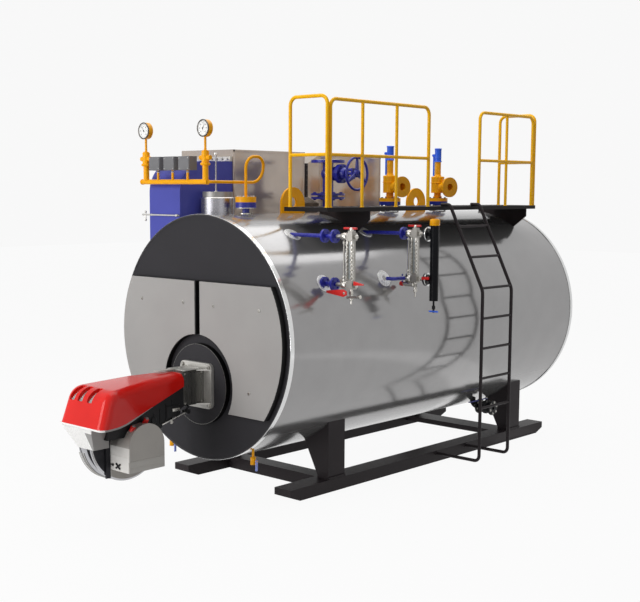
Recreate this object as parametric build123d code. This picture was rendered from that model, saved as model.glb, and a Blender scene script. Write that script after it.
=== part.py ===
from build123d import *
from math import cos, radians, sin, sqrt
import os

# Shell
shell_radius = 1090.0
shell_length = 4550.0
shell_wall = 90.0
axis_height = 1433.0
face_to_origin = 957.0
crown_height = axis_height + shell_radius
trim_depth = 40.0
trim_rim = 10.0
trim_proud = 6.0
trim_round = 5.0
rear_cover_radius_inside_flank = 230.0
rear_cover_radius = shell_radius - rear_cover_radius_inside_flank
rear_cover_proud = 50.0

# Front cover panels and burner plate
cover_radius_inside_flank = 45.0
cover_radius = shell_radius - cover_radius_inside_flank
cover_proud = 55.0
cover_gap = 46.0
cover_top_above_axis = 509.0
cover_top = axis_height + cover_top_above_axis
cover_bottom_below_axis = 633.0
cover_bottom = axis_height - cover_bottom_below_axis
cover_round = 6.0
burner_height_below_axis = 411.0
burner_height = axis_height - burner_height_below_axis
burner_opening_radius = 445.0
burner_plate_radius = 363.0
burner_plate_proud = 50.0

# Burner
flange_width = 412.0
flange_height = 404.0
flange_thickness = 30.0
flange_round = 50.0
neck_width = 216.0
neck_height = 314.0
neck_length = 250.0
neck_round = 30.0
hood_rear_width = 264.0
hood_front_width = 614.0
hood_reach = 1330.0
hood_shoulder = 100.0
hood_crest = 615.0
hood_belly = 225.0
hood_top_above_burner = 138.0
hood_top = burner_height + hood_top_above_burner
hood_front_top_above_burner = 102.0
hood_front_top = burner_height + hood_front_top_above_burner
hood_rear_top_above_burner = 143.0
hood_rear_top = burner_height + hood_rear_top_above_burner
hood_front_bottom_below_burner = 188.0
hood_front_bottom = burner_height - hood_front_bottom_below_burner
hood_rear_bottom_above_burner = 29.0
hood_rear_bottom = burner_height + hood_rear_bottom_above_burner
hood_shoulder_round = 140.0
hood_crest_round = 800.0
hood_belly_round = 700.0
hood_round = 70.0
base_centre = -75.0
base_top_width = 416.0
base_bottom_width = 216.0
base_bottom_below_burner = 406.0
base_bottom = burner_height - base_bottom_below_burner
base_top_length = 177.0
base_bottom_length = 154.0
base_setback = 8.0
base_taper = 105.0
body_width = 244.0
body_bottom_below_burner = 322.0
body_bottom = burner_height - body_bottom_below_burner
body_rise_run = 300.0
body_neck_overlap = 10.0
fan_setback = 529.0
fan_height_below_burner = 358.0
fan_height = burner_height - fan_height_below_burner
fan_radius = 384.0
fan_rim_radius = 366.0
fan_drum_radius = 347.0
fan_left = -252.0
fan_ring_width = 102.0
fan_ring_round = 37.0
fan_right = -60.0
fan_disc_width = 15.0
motor_right = 205.0
motor_setback = 338.0
motor_depth = 376.0
motor_arch_below_burner = 404.0
motor_arch = burner_height - motor_arch_below_burner
motor_bottom_below_burner = 612.0
motor_bottom = burner_height - motor_bottom_below_burner
motor_foot_thickness = 12.0
strip_width = 46.0
strip_bottom_below_burner = 687.0
strip_bottom = burner_height - strip_bottom_below_burner

# Skid
beam_spread = 677.0
beam_width = 197.0
beam_height = 114.5
beam_start = 329.0
beam_end = 4509.0
beam_nose = 126.0
beam_nose_height = 50.0
cross_width = 177.0
rear_cross_width = 262.0
rear_cross_depth = 55.0
rear_cross_shift = 84.0
saddle_length = 226.0
saddle_spacing = 2972.0
saddle_outer = 760.0
saddle_foot_inner = 638.0
saddle_top_inner = 465.0
saddle_plate = 20.0
saddle_foot_overhang = 12.0

# Platform, railings and ladder
platform_inner = 316.0
platform_outer_inside_flank = 251.0
platform_outer = shell_radius - platform_outer_inside_flank
platform_start = 720.0
platform_end = 4131.0
platform_clearance = 74.8
platform_thickness = 38.0
platform_rise = platform_clearance + platform_thickness
platform_top = axis_height + sqrt(shell_radius ** 2 - platform_inner ** 2) + platform_rise
gusset_inner = 116.0
gusset_outer = 741.0
gusset_outer_depth = 82.0
gusset_contact = 585.0
gusset_thickness = 14.0
gusset_places = (1422.0, 4105.0)
rail_radius = 16.5
rail_height = 945.0
rail_mid_height = 462.0
post_radius = 15.0
rail_bend = 75.0
rail_inset = 21.0
end_rail_extra = 25.0
end_rail_inset = 20.0
corner_gap = 38.5
end_rail_inner = 373.0
entry_start = 2205.0
entry_end = 3067.0
front_posts = (1215.0, 1709.0)
rear_posts = (3566.0,)
ladder_x_outside_flank = 205.0
ladder_x = shell_radius + ladder_x_outside_flank
ladder_near = 2477.0
ladder_far = 2985.0
ladder_tube = 16.5
ladder_base_height = 90.0
ladder_bend_height_above_axis = 343.0
ladder_bend_height = axis_height + ladder_bend_height_above_axis
ladder_hook = 48.0
ladder_hook_grip = 55.0
ladder_foot_bend = 55.0
ladder_slant_bend = 150.0
ladder_hook_bend = 45.0
rung_radius = 13.0
rung_pitch = 295.5
rung_low = 620.0
rung_count = 7

# Flue-gas boxes and ducts
box_left = -1232.0
box_right = -490.0
box_bottom_below_crown = 83.0
box_bottom = crown_height - box_bottom_below_crown
economiser_start = 850.0
economiser_end = 1853.0
economiser_top_above_crown = 600.0
economiser_top = crown_height + economiser_top_above_crown
condenser_start = 2071.0
condenser_end = 3074.0
condenser_top_above_crown = 584.0
condenser_top = crown_height + condenser_top_above_crown
joint_flange_thickness = 37.0
joint_flange_proud = 10.0
joint_flange_low_above_crown = 147.0
joint_flange_low = crown_height + joint_flange_low_above_crown
joint_flange_high_above_crown = 489.0
joint_flange_high = crown_height + joint_flange_high_above_crown
duct_low_above_crown = 82.0
duct_low = crown_height + duct_low_above_crown
duct_inset = 10.0
elbow_left = -935.0
elbow_right = -500.0
elbow_front = 189.0
elbow_top_above_crown = 485.0
elbow_top = crown_height + elbow_top_above_crown
elbow_round = 300.0
elbow_leg = 430.0
inlet_flange_thickness = 30.0
inlet_flange_proud = 45.0
support_inner = -440.0
support_outer = -1180.0
support_outer_depth = 60.0
support_contact = -900.0
support_thickness = 14.0
support_inset = 150.0
outlet_x = -860.0
outlet_z_above_crown = 257.0
outlet_z = crown_height + outlet_z_above_crown
outlet_radius = 200.0
outlet_wall = 10.0
outlet_flange_radius = 250.0
outlet_flange_thickness = 16.0
outlet_length = 60.0
damper_height_below_crown = 20.0
damper_height = crown_height - damper_height_below_crown
damper_radius = 8.0
damper_gap = 14.0
damper_reach = 90.0
damper_handle_drop = 50.0
damper_handle_rise = 25.0
damper_handle_radius = 6.5
damper_post_radius = 11.0
damper_inset = 45.0

# Fittings on the crown
stub_x = -318.0
stub_place = 491.0
stub_radius = 155.0
stub_top_above_crown = 146.0
stub_top = crown_height + stub_top_above_crown
stub_cover_radius = 140.0
stub_cover_top_above_crown = 199.0
stub_cover_top = crown_height + stub_cover_top_above_crown
stub_rod_offset = 25.0
stub_rod_radius = 8.0
stub_rod_top_above_crown = 553.0
stub_rod_top = crown_height + stub_rod_top_above_crown
siphon_place = 545.0
siphon_neck_radius = 32.0
siphon_flange_radius = 95.0
siphon_flange_bottom_above_crown = 55.0
siphon_flange_bottom = crown_height + siphon_flange_bottom_above_crown
siphon_flange_thickness = 50.0
siphon_radius = 14.0
siphon_loop_top_above_crown = 520.0
siphon_loop_top = crown_height + siphon_loop_top_above_crown
siphon_loop_reach = 240.0
siphon_loop_shift = -38.0
siphon_bends = (112.0, 100.0, 122.0, 40.0)
header_place = 125.0
header_z_above_crown = 286.0
header_z = crown_height + header_z_above_crown
header_left = -958.0
header_right = -60.0
header_radius = 23.0
header_overlap = 40.0
gauge_x = (-899.0, -78.0)
gauge_stub_radius = 27.0
gauge_stub_top_above_crown = 442.0
gauge_stub_top = crown_height + gauge_stub_top_above_crown
cock_radius = 34.0
cock_top_above_crown = 555.0
cock_top = crown_height + cock_top_above_crown
cock_arm = 68.0
cock_arm_radius = 19.0
gauge_z_above_crown = 756.0
gauge_z = crown_height + gauge_z_above_crown
gauge_radius = 76.0
gauge_depth = 48.0
gauge_stem_radius = 11.0
switch_x = (-727.0, -522.0, -316.0)
switch_width = 148.0
switch_depth = 92.0
switch_bottom_above_crown = 390.0
switch_bottom = crown_height + switch_bottom_above_crown
switch_top_above_crown = 514.0
switch_top = crown_height + switch_top_above_crown
switch_stub_radius = 12.0
lug_places = (1161.0, 3079.0)
lug_length = 316.0
lug_top_above_crown = 245.0
lug_top = crown_height + lug_top_above_crown
lug_thickness = 24.0
lug_hole_radius = 48.0
lug_hole_drop = 143.0
steam_place = 1665.0
steam_neck_radius = 54.0
steam_flange_radius = 167.0
steam_flange_bottom_above_crown = 132.0
steam_flange_bottom = crown_height + steam_flange_bottom_above_crown
steam_flange_thickness = 28.0
steam_face_above_crown = 511.0
steam_face = crown_height + steam_face_above_crown
steam_bore_radius = 40.0
steam_bore_depth = 80.0
steam_stem_height_below_face = 134.0
steam_stem_height = steam_face - steam_stem_height_below_face
steam_body_radius = 70.0
steam_joint_gap = 14.0
steam_raised_face_radius = 104.0
steam_bolt_circle = 280.0
steam_bolt_hole = 11.0
steam_bolt_count = 8
bonnet_radius = 60.0
bonnet_flange_radius = 92.0
bonnet_flange_start = 150.0
bonnet_flange_end = 196.0
yoke_end = 312.0
yoke_spread = 42.0
yoke_bar = 10.0
stem_radius = 14.0
stem_end = 396.0
wheel_x = 373.0
wheel_rim_radius = 155.0
wheel_rim_bar = 13.0
wheel_hub_radius = 32.0
wheel_hub_length = 34.0
wheel_spoke_radius = 11.0
wheel_spokes = 3
running_clearance = 0.08
safety_places = (2636.0, 3470.0)
safety_turn = -12.0
safety_neck_radius = 50.0
safety_flange_radius = 112.0
safety_flange_bottom_above_crown = 67.0
safety_flange_bottom = crown_height + safety_flange_bottom_above_crown
safety_flange_thickness = 36.0
safety_body_top_above_crown = 368.0
safety_body_top = crown_height + safety_body_top_above_crown
safety_body_radius = 72.0
safety_throat_radius = 38.0
safety_throat_top_above_crown = 196.0
safety_throat_top = crown_height + safety_throat_top_above_crown
safety_bonnet_radius = 33.0
safety_bonnet_top_above_crown = 534.0
safety_bonnet_top = crown_height + safety_bonnet_top_above_crown
safety_cap_radius = 36.0
safety_cap_top_above_crown = 677.0
safety_cap_top = crown_height + safety_cap_top_above_crown
safety_outlet_z_above_crown = 256.0
safety_outlet_z = crown_height + safety_outlet_z_above_crown
safety_outlet_reach = 205.0
safety_outlet_radius = 50.0
safety_outlet_flange = 107.0
safety_outlet_thickness = 24.0
safety_bore_radius = 38.0
safety_bore_depth = 70.0
lever_pivot_z_above_crown = 602.0
lever_pivot_z = crown_height + lever_pivot_z_above_crown
lever_pivot_reach = 56.0
lever_ear_thickness = 6.0
lever_ear_radius = 14.0
lever_side_gap = 5.0
lever_thickness = 10.0
lever_width = 18.0
lever_pin_radius = 6.0
lever_eye_radius = 12.6
lever_length = 222.0

# Fittings on the near flank
gauge_front_place = 546.0
gauge_rear_place = 1532.0
level_top_above_axis = 919.0
level_top = axis_height + level_top_above_axis
level_bottom_above_axis = 510.0
level_bottom = axis_height + level_bottom_above_axis
level_pipe_radius = 17.0
level_flange_radius = 58.0
level_flange_thickness = 22.0
front_flange_insets = (128.0, 14.0)
front_flange_x = [shell_radius - inset for inset in front_flange_insets]
rear_flange_x_inside_flank = 44.0
rear_flange_x = shell_radius - rear_flange_x_inside_flank
front_column_x_outside_flank = 185.0
front_column_x = shell_radius + front_column_x_outside_flank
rear_column_x_outside_flank = 106.0
rear_column_x = shell_radius + rear_column_x_outside_flank
level_rod_offset = 84.0
level_rod_radius = 8.0
level_column_width = 46.0
level_head = 66.0
level_overrun = 52.0
water_column_x_outside_flank = 317.0
water_column_x = shell_radius + water_column_x_outside_flank
water_column_radius = 40.0
water_column_low_above_axis = 321.0
water_column_low = axis_height + water_column_low_above_axis
water_column_high_above_axis = 1010.0
water_column_high = axis_height + water_column_high_above_axis
water_cap_top_above_axis = 1059.0
water_cap_top = axis_height + water_cap_top_above_axis
water_cap_radius = 32.0
water_flange_x_outside_flank = 225.0
water_flange_x = shell_radius + water_flange_x_outside_flank
water_stem_radius = 9.0
water_stem_low_above_axis = 214.0
water_stem_low = axis_height + water_stem_low_above_axis
rear_port_shift = 169.0
rear_port_run_inside_flank = 15.0
rear_port_run = shell_radius - rear_port_run_inside_flank
level_pipe_bend = 50.0

# Fittings below the shell
blowdown_x = 560.0
blowdown_place = 3420.0
blowdown_drop = 68.0
blowdown_pipe_radius = 30.0
blowdown_bend = 55.0
blowdown_flange_radius = 78.0
blowdown_flange_thickness = 20.0
blowdown_flange_x = (640.0, 806.0)
blowdown_body_radius = 62.0
blowdown_body_length = 96.0
blowdown_bore_radius = 20.0
blowdown_bore_depth = 60.0
blowdown_stem_radius = 9.0
blowdown_stem_rise = 100.0
blowdown_boss_radius = 17.0
blowdown_lever_length = 320.0
drain_x = 543.0
drain_place = 100.0
drain_drop = 100.0
drain_pipe_radius = 11.0
drain_body_radius = 24.0
drain_body_length = 56.0
drain_stem_radius = 6.0
drain_stem_reach = 50.0
drain_lever_length = 85.0
drain_boss_radius = 13.0
stem_tip = 3.0
handle_width = 22.0
handle_thickness = 8.0

front_y = -face_to_origin
rear_y = front_y + shell_length
os.makedirs("parts", exist_ok=True)


def behind(distance):
    """Y of a place this far behind the front face."""
    return front_y + distance


def crown(x):
    """Height of the shell's upper surface at x."""
    return axis_height + sqrt(shell_radius ** 2 - x ** 2)


def keel(x):
    """Height of the shell's lower surface at x."""
    return axis_height - sqrt(shell_radius ** 2 - x ** 2)


def block(x_range, y_range, z_range):
    """Box between two opposite corners."""
    spans = [sorted(span) for span in (x_range, y_range, z_range)]
    middle = [(low + high) / 2 for low, high in spans]
    return Pos(*middle) * Box(*[high - low for low, high in spans])


def bar(start, end, radius):
    """Round bar between two points."""
    along = Vector(*end) - Vector(*start)
    return extrude(Plane(origin=start, z_dir=along) * Circle(radius), amount=along.length)


def pipe(points, bends, radius):
    """Round pipe through points, with an arc at each corner."""
    path = FilletPolyline(*points, radius=bends)
    return sweep(Plane(origin=path @ 0, z_dir=path % 0) * Circle(radius), path=path)


def cross_plate(outline, front, thickness):
    """Plate with an outline in X and Z, thick along Y."""
    plane = Plane(origin=(0, front, 0), x_dir=(1, 0, 0), z_dir=(0, -1, 0))
    return extrude(plane * Polygon(*outline, align=None), amount=thickness, dir=(0, 1, 0))


def side_plate(outline, left, thickness):
    """Plate with an outline in Y and Z, thick along X."""
    plane = Plane(origin=(left, 0, 0), x_dir=(0, 1, 0), z_dir=(1, 0, 0))
    return extrude(plane * Polygon(*outline, align=None), amount=thickness, dir=(1, 0, 0))


def shell_form():
    """Space that the shell takes, longer than the shell itself."""
    overrun = shell_length
    return bar((0, front_y - overrun, axis_height), (0, rear_y + overrun, axis_height), shell_radius)


def save(name, shape):
    """Write one sub-part."""
    shape = Compound(children=list(shape)) if isinstance(shape, list) else shape
    export_step(shape, f"parts/{name}.step")


def shell():
    start = (0, behind(trim_depth), axis_height)
    end = (0, rear_y - trim_depth, axis_height)
    return bar(start, end, shell_radius) - bar(start, end, shell_radius - shell_wall)


def end_disc(near, far, radius):
    """Disc about the shell's axis between two places along it."""
    return bar((0, near, axis_height), (0, far, axis_height), radius)


def trim_ring(outer_face, inner_face):
    """Rounded bright ring round one rim of the shell."""
    step = -trim_proud if outer_face < inner_face else trim_proud
    ring = end_disc(outer_face + step, inner_face, shell_radius + trim_proud)
    outer_end = 0 if step < 0 else -1
    ring = fillet(ring.faces().sort_by(Axis.Y)[outer_end].edges(), trim_round)
    return ring - end_disc(outer_face + step, inner_face, shell_radius - trim_rim)


def rear_plate():
    plate = end_disc(rear_y - trim_depth, rear_y, shell_radius - trim_rim)
    return plate + end_disc(rear_y, rear_y + rear_cover_proud, rear_cover_radius)


def cover_panel(side):
    """Light panel over one half of the front plate."""
    face = front_y - cover_proud
    panel = end_disc(face, front_y, cover_radius)
    half = (side * cover_gap / 2, side * cover_radius)
    panel &= block(half, (face, front_y), (cover_bottom, cover_top))
    panel -= bar((0, face, burner_height), (0, front_y, burner_height), burner_opening_radius)
    return fillet(panel.faces().sort_by(Axis.Y)[0].edges(), cover_round)


def burner_plate():
    face = front_y - burner_plate_proud
    return bar((0, face, burner_height), (0, front_y, burner_height), burner_plate_radius)


flange_face = front_y - burner_plate_proud - flange_thickness
neck_front = flange_face - neck_length
nose_y = front_y - hood_reach


def upright_box(width, height, near, far, corner):
    """Box about the burner's axis with its four corners along Y rounded."""
    half = width / 2
    form = block((-half, half), (near, far), (burner_height - height / 2, burner_height + height / 2))
    return fillet(form.edges().filter_by(Axis.Y), corner)


def burner_flange():
    far = flange_face + flange_thickness
    return upright_box(flange_width, flange_height, flange_face, far, flange_round)


def hood_plane():
    """Plane of the hood's side outlines, at the left of everything on the burner."""
    return Plane(origin=(-hood_front_width, 0, 0), x_dir=(0, 1, 0), z_dir=(1, 0, 0))


def hood_underside():
    """Curve below the hood, from its rear to its lower front corner."""
    rear = (neck_front, hood_rear_bottom)
    belly = (nose_y + hood_belly, hood_front_bottom)
    return FilletPolyline(rear, belly, (nose_y, hood_front_bottom), radius=hood_belly_round)


def below_hood():
    """Space below the hood, down to the floor."""
    rear = (neck_front, hood_rear_bottom)
    sides = Polyline((nose_y, hood_front_bottom), (nose_y, 0), (neck_front, 0), rear)
    face = hood_plane() * make_face([hood_underside(), sides])
    return extrude(face, amount=2 * hood_front_width, dir=(1, 0, 0))


def hood_side():
    """Side outline of the hood as a face in Y and Z."""
    crest = FilletPolyline(
        (nose_y, hood_front_bottom),
        (nose_y + hood_shoulder, hood_front_top),
        (nose_y + hood_crest, hood_top),
        (neck_front, hood_rear_top),
        radius=(hood_shoulder_round, hood_crest_round),
    )
    rear = Line((neck_front, hood_rear_top), (neck_front, hood_rear_bottom))
    return make_face([crest, rear, hood_underside()])


def burner_hood():
    wide = extrude(hood_plane() * hood_side(), amount=2 * hood_front_width, dir=(1, 0, 0))
    plan = Polygon(
        (-hood_front_width / 2, nose_y),
        (hood_front_width / 2, nose_y),
        (hood_rear_width / 2, neck_front),
        (-hood_rear_width / 2, neck_front),
        align=None,
    )
    hood = wide & extrude(plan, amount=hood_top + hood_round, dir=(0, 0, 1))
    return fillet([edge for edge in hood.edges() if on_crest(edge.center())], hood_round)


def on_crest(middle):
    """True for the middle of an edge between the hood's sides and its top or front."""
    at_side = abs(middle.X) > hood_rear_width / 4 and middle.Y < neck_front - 1
    front_half = nose_y + hood_belly
    on_front = middle.Y < front_half and middle.Z > hood_front_bottom + hood_round
    return at_side and (middle.Z > hood_rear_bottom + hood_round or on_front)


def burner_base():
    """Tapered box below the front of the hood."""
    top_front = nose_y + base_setback
    bottom_front = top_front + base_taper
    top_place = Pos(base_centre, top_front + base_top_length / 2, hood_front_bottom)
    bottom_place = Pos(base_centre, bottom_front + base_bottom_length / 2, base_bottom)
    top = (top_place * Rectangle(base_top_width, base_top_length)).face()
    bottom = (bottom_place * Rectangle(base_bottom_width, base_bottom_length)).face()
    base = loft([bottom, top]) + extrude(top, amount=base_top_length, dir=(0, 0, 1))
    return base & below_hood()


def fan_space():
    """Round space that the fan takes."""
    return fan_disc(fan_left, fan_right, fan_radius)


def fan_disc(left, right, radius):
    """Disc about the fan's axis."""
    y = nose_y + fan_setback
    return bar((left, y, fan_height), (right, y, fan_height), radius)


def motor_strip():
    """Upright strip between the fan's end and the hood, in front of the motor."""
    motor_front = nose_y + motor_setback
    span = (motor_front - strip_width, motor_front)
    return block((fan_right, fan_right + fan_disc_width), span, (strip_bottom, hood_top))


def burner_body():
    front = nose_y + base_setback + base_top_length
    outline = [
        (front, hood_rear_bottom),
        (front, body_bottom),
        (neck_front - body_rise_run, body_bottom),
        (neck_front, burner_height - neck_height / 2 + body_neck_overlap),
        (neck_front, hood_rear_bottom),
    ]
    body = side_plate(outline, -body_width / 2, body_width) & below_hood()
    return body - burner_base() - fan_space() - motor_strip() - motor_form()


def fan_housing():
    """Drum of the fan, its end disc and the strip beside the motor."""
    drum = fan_disc(fan_left + fan_ring_width, fan_right - fan_disc_width, fan_drum_radius)
    drum += fan_disc(fan_right - fan_disc_width, fan_right, fan_rim_radius)
    return (drum + motor_strip()) & below_hood() - burner_base()


def fan_rings():
    band = fan_disc(fan_left, fan_left + fan_ring_width, fan_radius)
    band = fillet(band.edges().filter_by(GeomType.CIRCLE), fan_ring_round)
    rim = fan_disc(fan_right - fan_disc_width, fan_right, fan_radius)
    rim -= fan_disc(fan_right - fan_disc_width, fan_right, fan_rim_radius)
    space = below_hood() - burner_base()
    return Compound(children=[band & space, rim & space])


def motor_form():
    """Motor housing with an arched top and a foot plate on the fan's end."""
    radius = motor_depth / 2
    front = nose_y + motor_setback
    span = (front, front + motor_depth)
    start = (fan_right, front + radius, motor_arch)
    housing = bar(start, (motor_right, front + radius, motor_arch), radius)
    housing += block((fan_right, motor_right), span, (motor_bottom, motor_arch))
    foot = fan_disc(fan_right, fan_right + motor_foot_thickness, fan_rim_radius)
    return housing + (foot & block((fan_right, motor_right), span, (0, motor_arch)))


def skid_beam(side):
    """Long beam with its lower corners cut back at both ends."""
    start = behind(beam_start)
    end = behind(beam_end)
    outline = [
        (start, beam_height),
        (start, beam_nose_height),
        (start + beam_nose, 0),
        (end - beam_nose, 0),
        (end, beam_nose_height),
        (end, beam_height),
    ]
    return side_plate(outline, side * beam_spread - beam_width / 2, beam_width)


def cross_beam(middle, width, depth):
    """Beam that joins the two skid beams, flush with their tops."""
    reach = beam_spread - beam_width / 2
    span = (middle - width / 2, middle + width / 2)
    return block((-reach, reach), span, (beam_height - depth, beam_height))


def saddle(side, middle):
    """Welded plates that carry the shell on one skid beam."""
    near = middle - saddle_length / 2
    far = middle + saddle_length / 2
    foot_top = beam_height + saddle_plate
    web = [
        (side * saddle_foot_inner, beam_height),
        (side * saddle_outer, beam_height),
        (side * saddle_outer, axis_height),
        (side * saddle_top_inner, axis_height),
        (side * saddle_top_inner, keel(saddle_top_inner)),
    ]
    foot_inner = side * (saddle_foot_inner - saddle_foot_overhang)
    foot_outer = side * (saddle_outer + saddle_foot_overhang)
    carrier = block((foot_inner, foot_outer), (near, far), (beam_height, foot_top))
    outer_span = (side * (saddle_outer - saddle_plate), side * saddle_outer)
    carrier += block(outer_span, (near, far), (beam_height, axis_height))
    carrier += cross_plate(web, near, saddle_plate)
    carrier += cross_plate(web, far - saddle_plate, saddle_plate)
    return carrier - shell_form()


def platform():
    ends = (behind(platform_start), behind(platform_end))
    height = (platform_top - platform_thickness, platform_top)
    return block((platform_inner, platform_outer), ends, height)


def gusset(place):
    """Bracket between the shell and the platform."""
    top = platform_top - platform_thickness
    outline = [
        (gusset_inner, top),
        (gusset_outer, top),
        (gusset_outer, top - gusset_outer_depth),
        (gusset_contact, crown(gusset_contact)),
        (gusset_inner, crown(gusset_contact)),
    ]
    return cross_plate(outline, behind(place) - gusset_thickness / 2, gusset_thickness) - shell_form()


def rail_loop(start, end, height, posts):
    """Railing frame between two feet, with a middle rail and posts at shares of its length."""
    foot = Vector(*start)
    run = Vector(*end) - foot
    rise = Vector(0, 0, height)
    middle = Vector(0, 0, rail_mid_height)
    corners = [foot, foot + rise, foot + run + rise, foot + run]
    loop = pipe([tuple(corner) for corner in corners], rail_bend, rail_radius)
    loop += bar(tuple(foot + middle), tuple(foot + run + middle), post_radius)
    for share in posts:
        post = foot + run * share
        loop += bar(tuple(post), tuple(post + rise), post_radius)
    return loop


def side_rail(start, end, places):
    """Railing loop along the platform's outer edge."""
    x = platform_outer - rail_inset
    foot = (x, behind(start), platform_top)
    shares = [(place - start) / (end - start) for place in places]
    return rail_loop(foot, (x, behind(end), platform_top), rail_height, shares)


def end_rail(y):
    """Railing loop across one end of the platform."""
    start = (end_rail_inner, y, platform_top)
    end = (platform_outer - rail_inset, y, platform_top)
    return rail_loop(start, end, rail_height + end_rail_extra, [])


ladder_top_z = platform_top + ladder_tube
ladder_top_x = platform_outer + ladder_hook


def ladder_centre(z):
    """X of the ladder's centre line at this height."""
    share = (z - ladder_bend_height) / (ladder_top_z - ladder_bend_height)
    return ladder_x + (ladder_top_x - ladder_x) * max(share, 0.0)


def ladder_side(y):
    """One bent tube of the ladder, from the skid beam to the platform."""
    points = [
        (beam_spread + beam_width / 2, y, ladder_base_height),
        (ladder_x, y, ladder_base_height),
        (ladder_x, y, ladder_bend_height),
        (ladder_top_x, y, ladder_top_z),
        (platform_outer - ladder_hook_grip, y, ladder_top_z),
    ]
    return pipe(points, (ladder_foot_bend, ladder_slant_bend, ladder_hook_bend), ladder_tube)


def ladder():
    near = behind(ladder_near)
    far = behind(ladder_far)
    frame = ladder_side(near) + ladder_side(far)
    for number in range(rung_count):
        z = rung_low + rung_pitch * number
        x = ladder_centre(z)
        frame += bar((x, near, z), (x, far, z), rung_radius)
    return frame


def economiser():
    span = (behind(economiser_start), behind(economiser_end))
    return block((box_left, box_right), span, (box_bottom, economiser_top))


def condenser():
    """Second box, with the round outlet for the chimney on its rear."""
    rear = behind(condenser_end)
    box = block((box_left, box_right), (behind(condenser_start), rear), (box_bottom, condenser_top))
    tip = rear + outlet_length
    box += bar((outlet_x, rear, outlet_z), (outlet_x, tip, outlet_z), outlet_radius + outlet_wall)
    lip = tip - outlet_flange_thickness
    box += bar((outlet_x, lip, outlet_z), (outlet_x, tip, outlet_z), outlet_flange_radius)
    return box - bar((outlet_x, rear, outlet_z), (outlet_x, tip, outlet_z), outlet_radius)


def joint_flange():
    start = behind(economiser_end)
    span = (box_left + joint_flange_proud, box_right + joint_flange_proud)
    return block(span, (start, start + joint_flange_thickness), (joint_flange_low, joint_flange_high))


def tapered_duct():
    """Duct that widens from the joint flange to the condenser's front."""
    front = behind(economiser_end) + joint_flange_thickness
    rear = behind(condenser_start)
    x_middle = (box_left + box_right) / 2
    width = box_right - box_left
    small_height = joint_flange_high - joint_flange_low - 2 * duct_inset
    small_z = (joint_flange_low + joint_flange_high) / 2
    large_height = condenser_top - duct_low
    large_z = (condenser_top + duct_low) / 2
    small = Plane(origin=(x_middle, front, small_z), x_dir=(1, 0, 0), z_dir=(0, 1, 0))
    large = Plane(origin=(x_middle, rear, large_z), x_dir=(1, 0, 0), z_dir=(0, 1, 0))
    small_face = (small * Rectangle(width - 2 * duct_inset, small_height)).face()
    return loft([small_face, (large * Rectangle(width, large_height)).face()])


def flue_elbow():
    """Bent duct from the shell's flank back to the economiser, with its flange."""
    front = behind(elbow_front)
    flange_front = behind(economiser_start) - inlet_flange_thickness
    low = keel(0)
    outline = [
        (front, low),
        (front, elbow_top),
        (flange_front, elbow_top),
        (flange_front, box_bottom),
        (front + elbow_leg, box_bottom),
        (front + elbow_leg, low),
    ]
    elbow = side_plate(outline, elbow_left, elbow_right - elbow_left)
    elbow = fillet(elbow.edges().filter_by(Axis.X).group_by(Axis.Z)[-1].sort_by(Axis.Y)[0], elbow_round)
    elbow &= block((elbow_left, elbow_right), (front, flange_front), (axis_height, elbow_top))
    elbow -= shell_form()
    flange = block(
        (elbow_left - inlet_flange_proud, elbow_right),
        (flange_front, behind(economiser_start)),
        (box_bottom, elbow_top + inlet_flange_proud),
    )
    return elbow + flange


def damper_rod():
    """Rod with a cross handle on the front of the elbow."""
    y = behind(elbow_front) - damper_gap
    tip = elbow_left - damper_reach
    rod = bar((tip, y, damper_height), (elbow_right, y, damper_height), damper_radius)
    handle_x = tip + damper_reach / 2
    low = (handle_x, y, damper_height - damper_handle_drop)
    high = (handle_x, y, damper_height + damper_handle_rise)
    rod += bar(low, high, damper_handle_radius)
    for x in (elbow_left + damper_inset, elbow_right - damper_inset):
        rod += bar((x, y, damper_height), (x, behind(elbow_front), damper_height), damper_post_radius)
    return rod


def box_support(place):
    """Bracket between the shell's flank and the underside of a box."""
    outline = [
        (support_inner, box_bottom),
        (support_outer, box_bottom),
        (support_outer, box_bottom - support_outer_depth),
        (support_contact, crown(support_contact)),
        (support_inner, crown(support_contact)),
    ]
    return cross_plate(outline, behind(place) - support_thickness / 2, support_thickness) - shell_form()


def box_supports():
    places = []
    for start, end in ((economiser_start, economiser_end), (condenser_start, condenser_end)):
        places += [start + support_inset, end - support_inset]
    return Compound(children=[box_support(place) for place in places])


def top_stub():
    """Round stub with a cover and a thin rod."""
    y = behind(stub_place)
    stub = bar((stub_x, y, axis_height), (stub_x, y, stub_top), stub_radius) - shell_form()
    stub += bar((stub_x, y, stub_top), (stub_x, y, stub_cover_top), stub_cover_radius)
    rod_x = stub_x - stub_rod_offset
    return stub + bar((rod_x, y, stub_cover_top), (rod_x, y, stub_rod_top), stub_rod_radius)


def siphon_nozzle():
    y = behind(siphon_place)
    top = siphon_flange_bottom + siphon_flange_thickness
    nozzle = bar((0, y, axis_height), (0, y, siphon_flange_bottom), siphon_neck_radius) - shell_form()
    return nozzle + bar((0, y, siphon_flange_bottom), (0, y, top), siphon_flange_radius)


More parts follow.
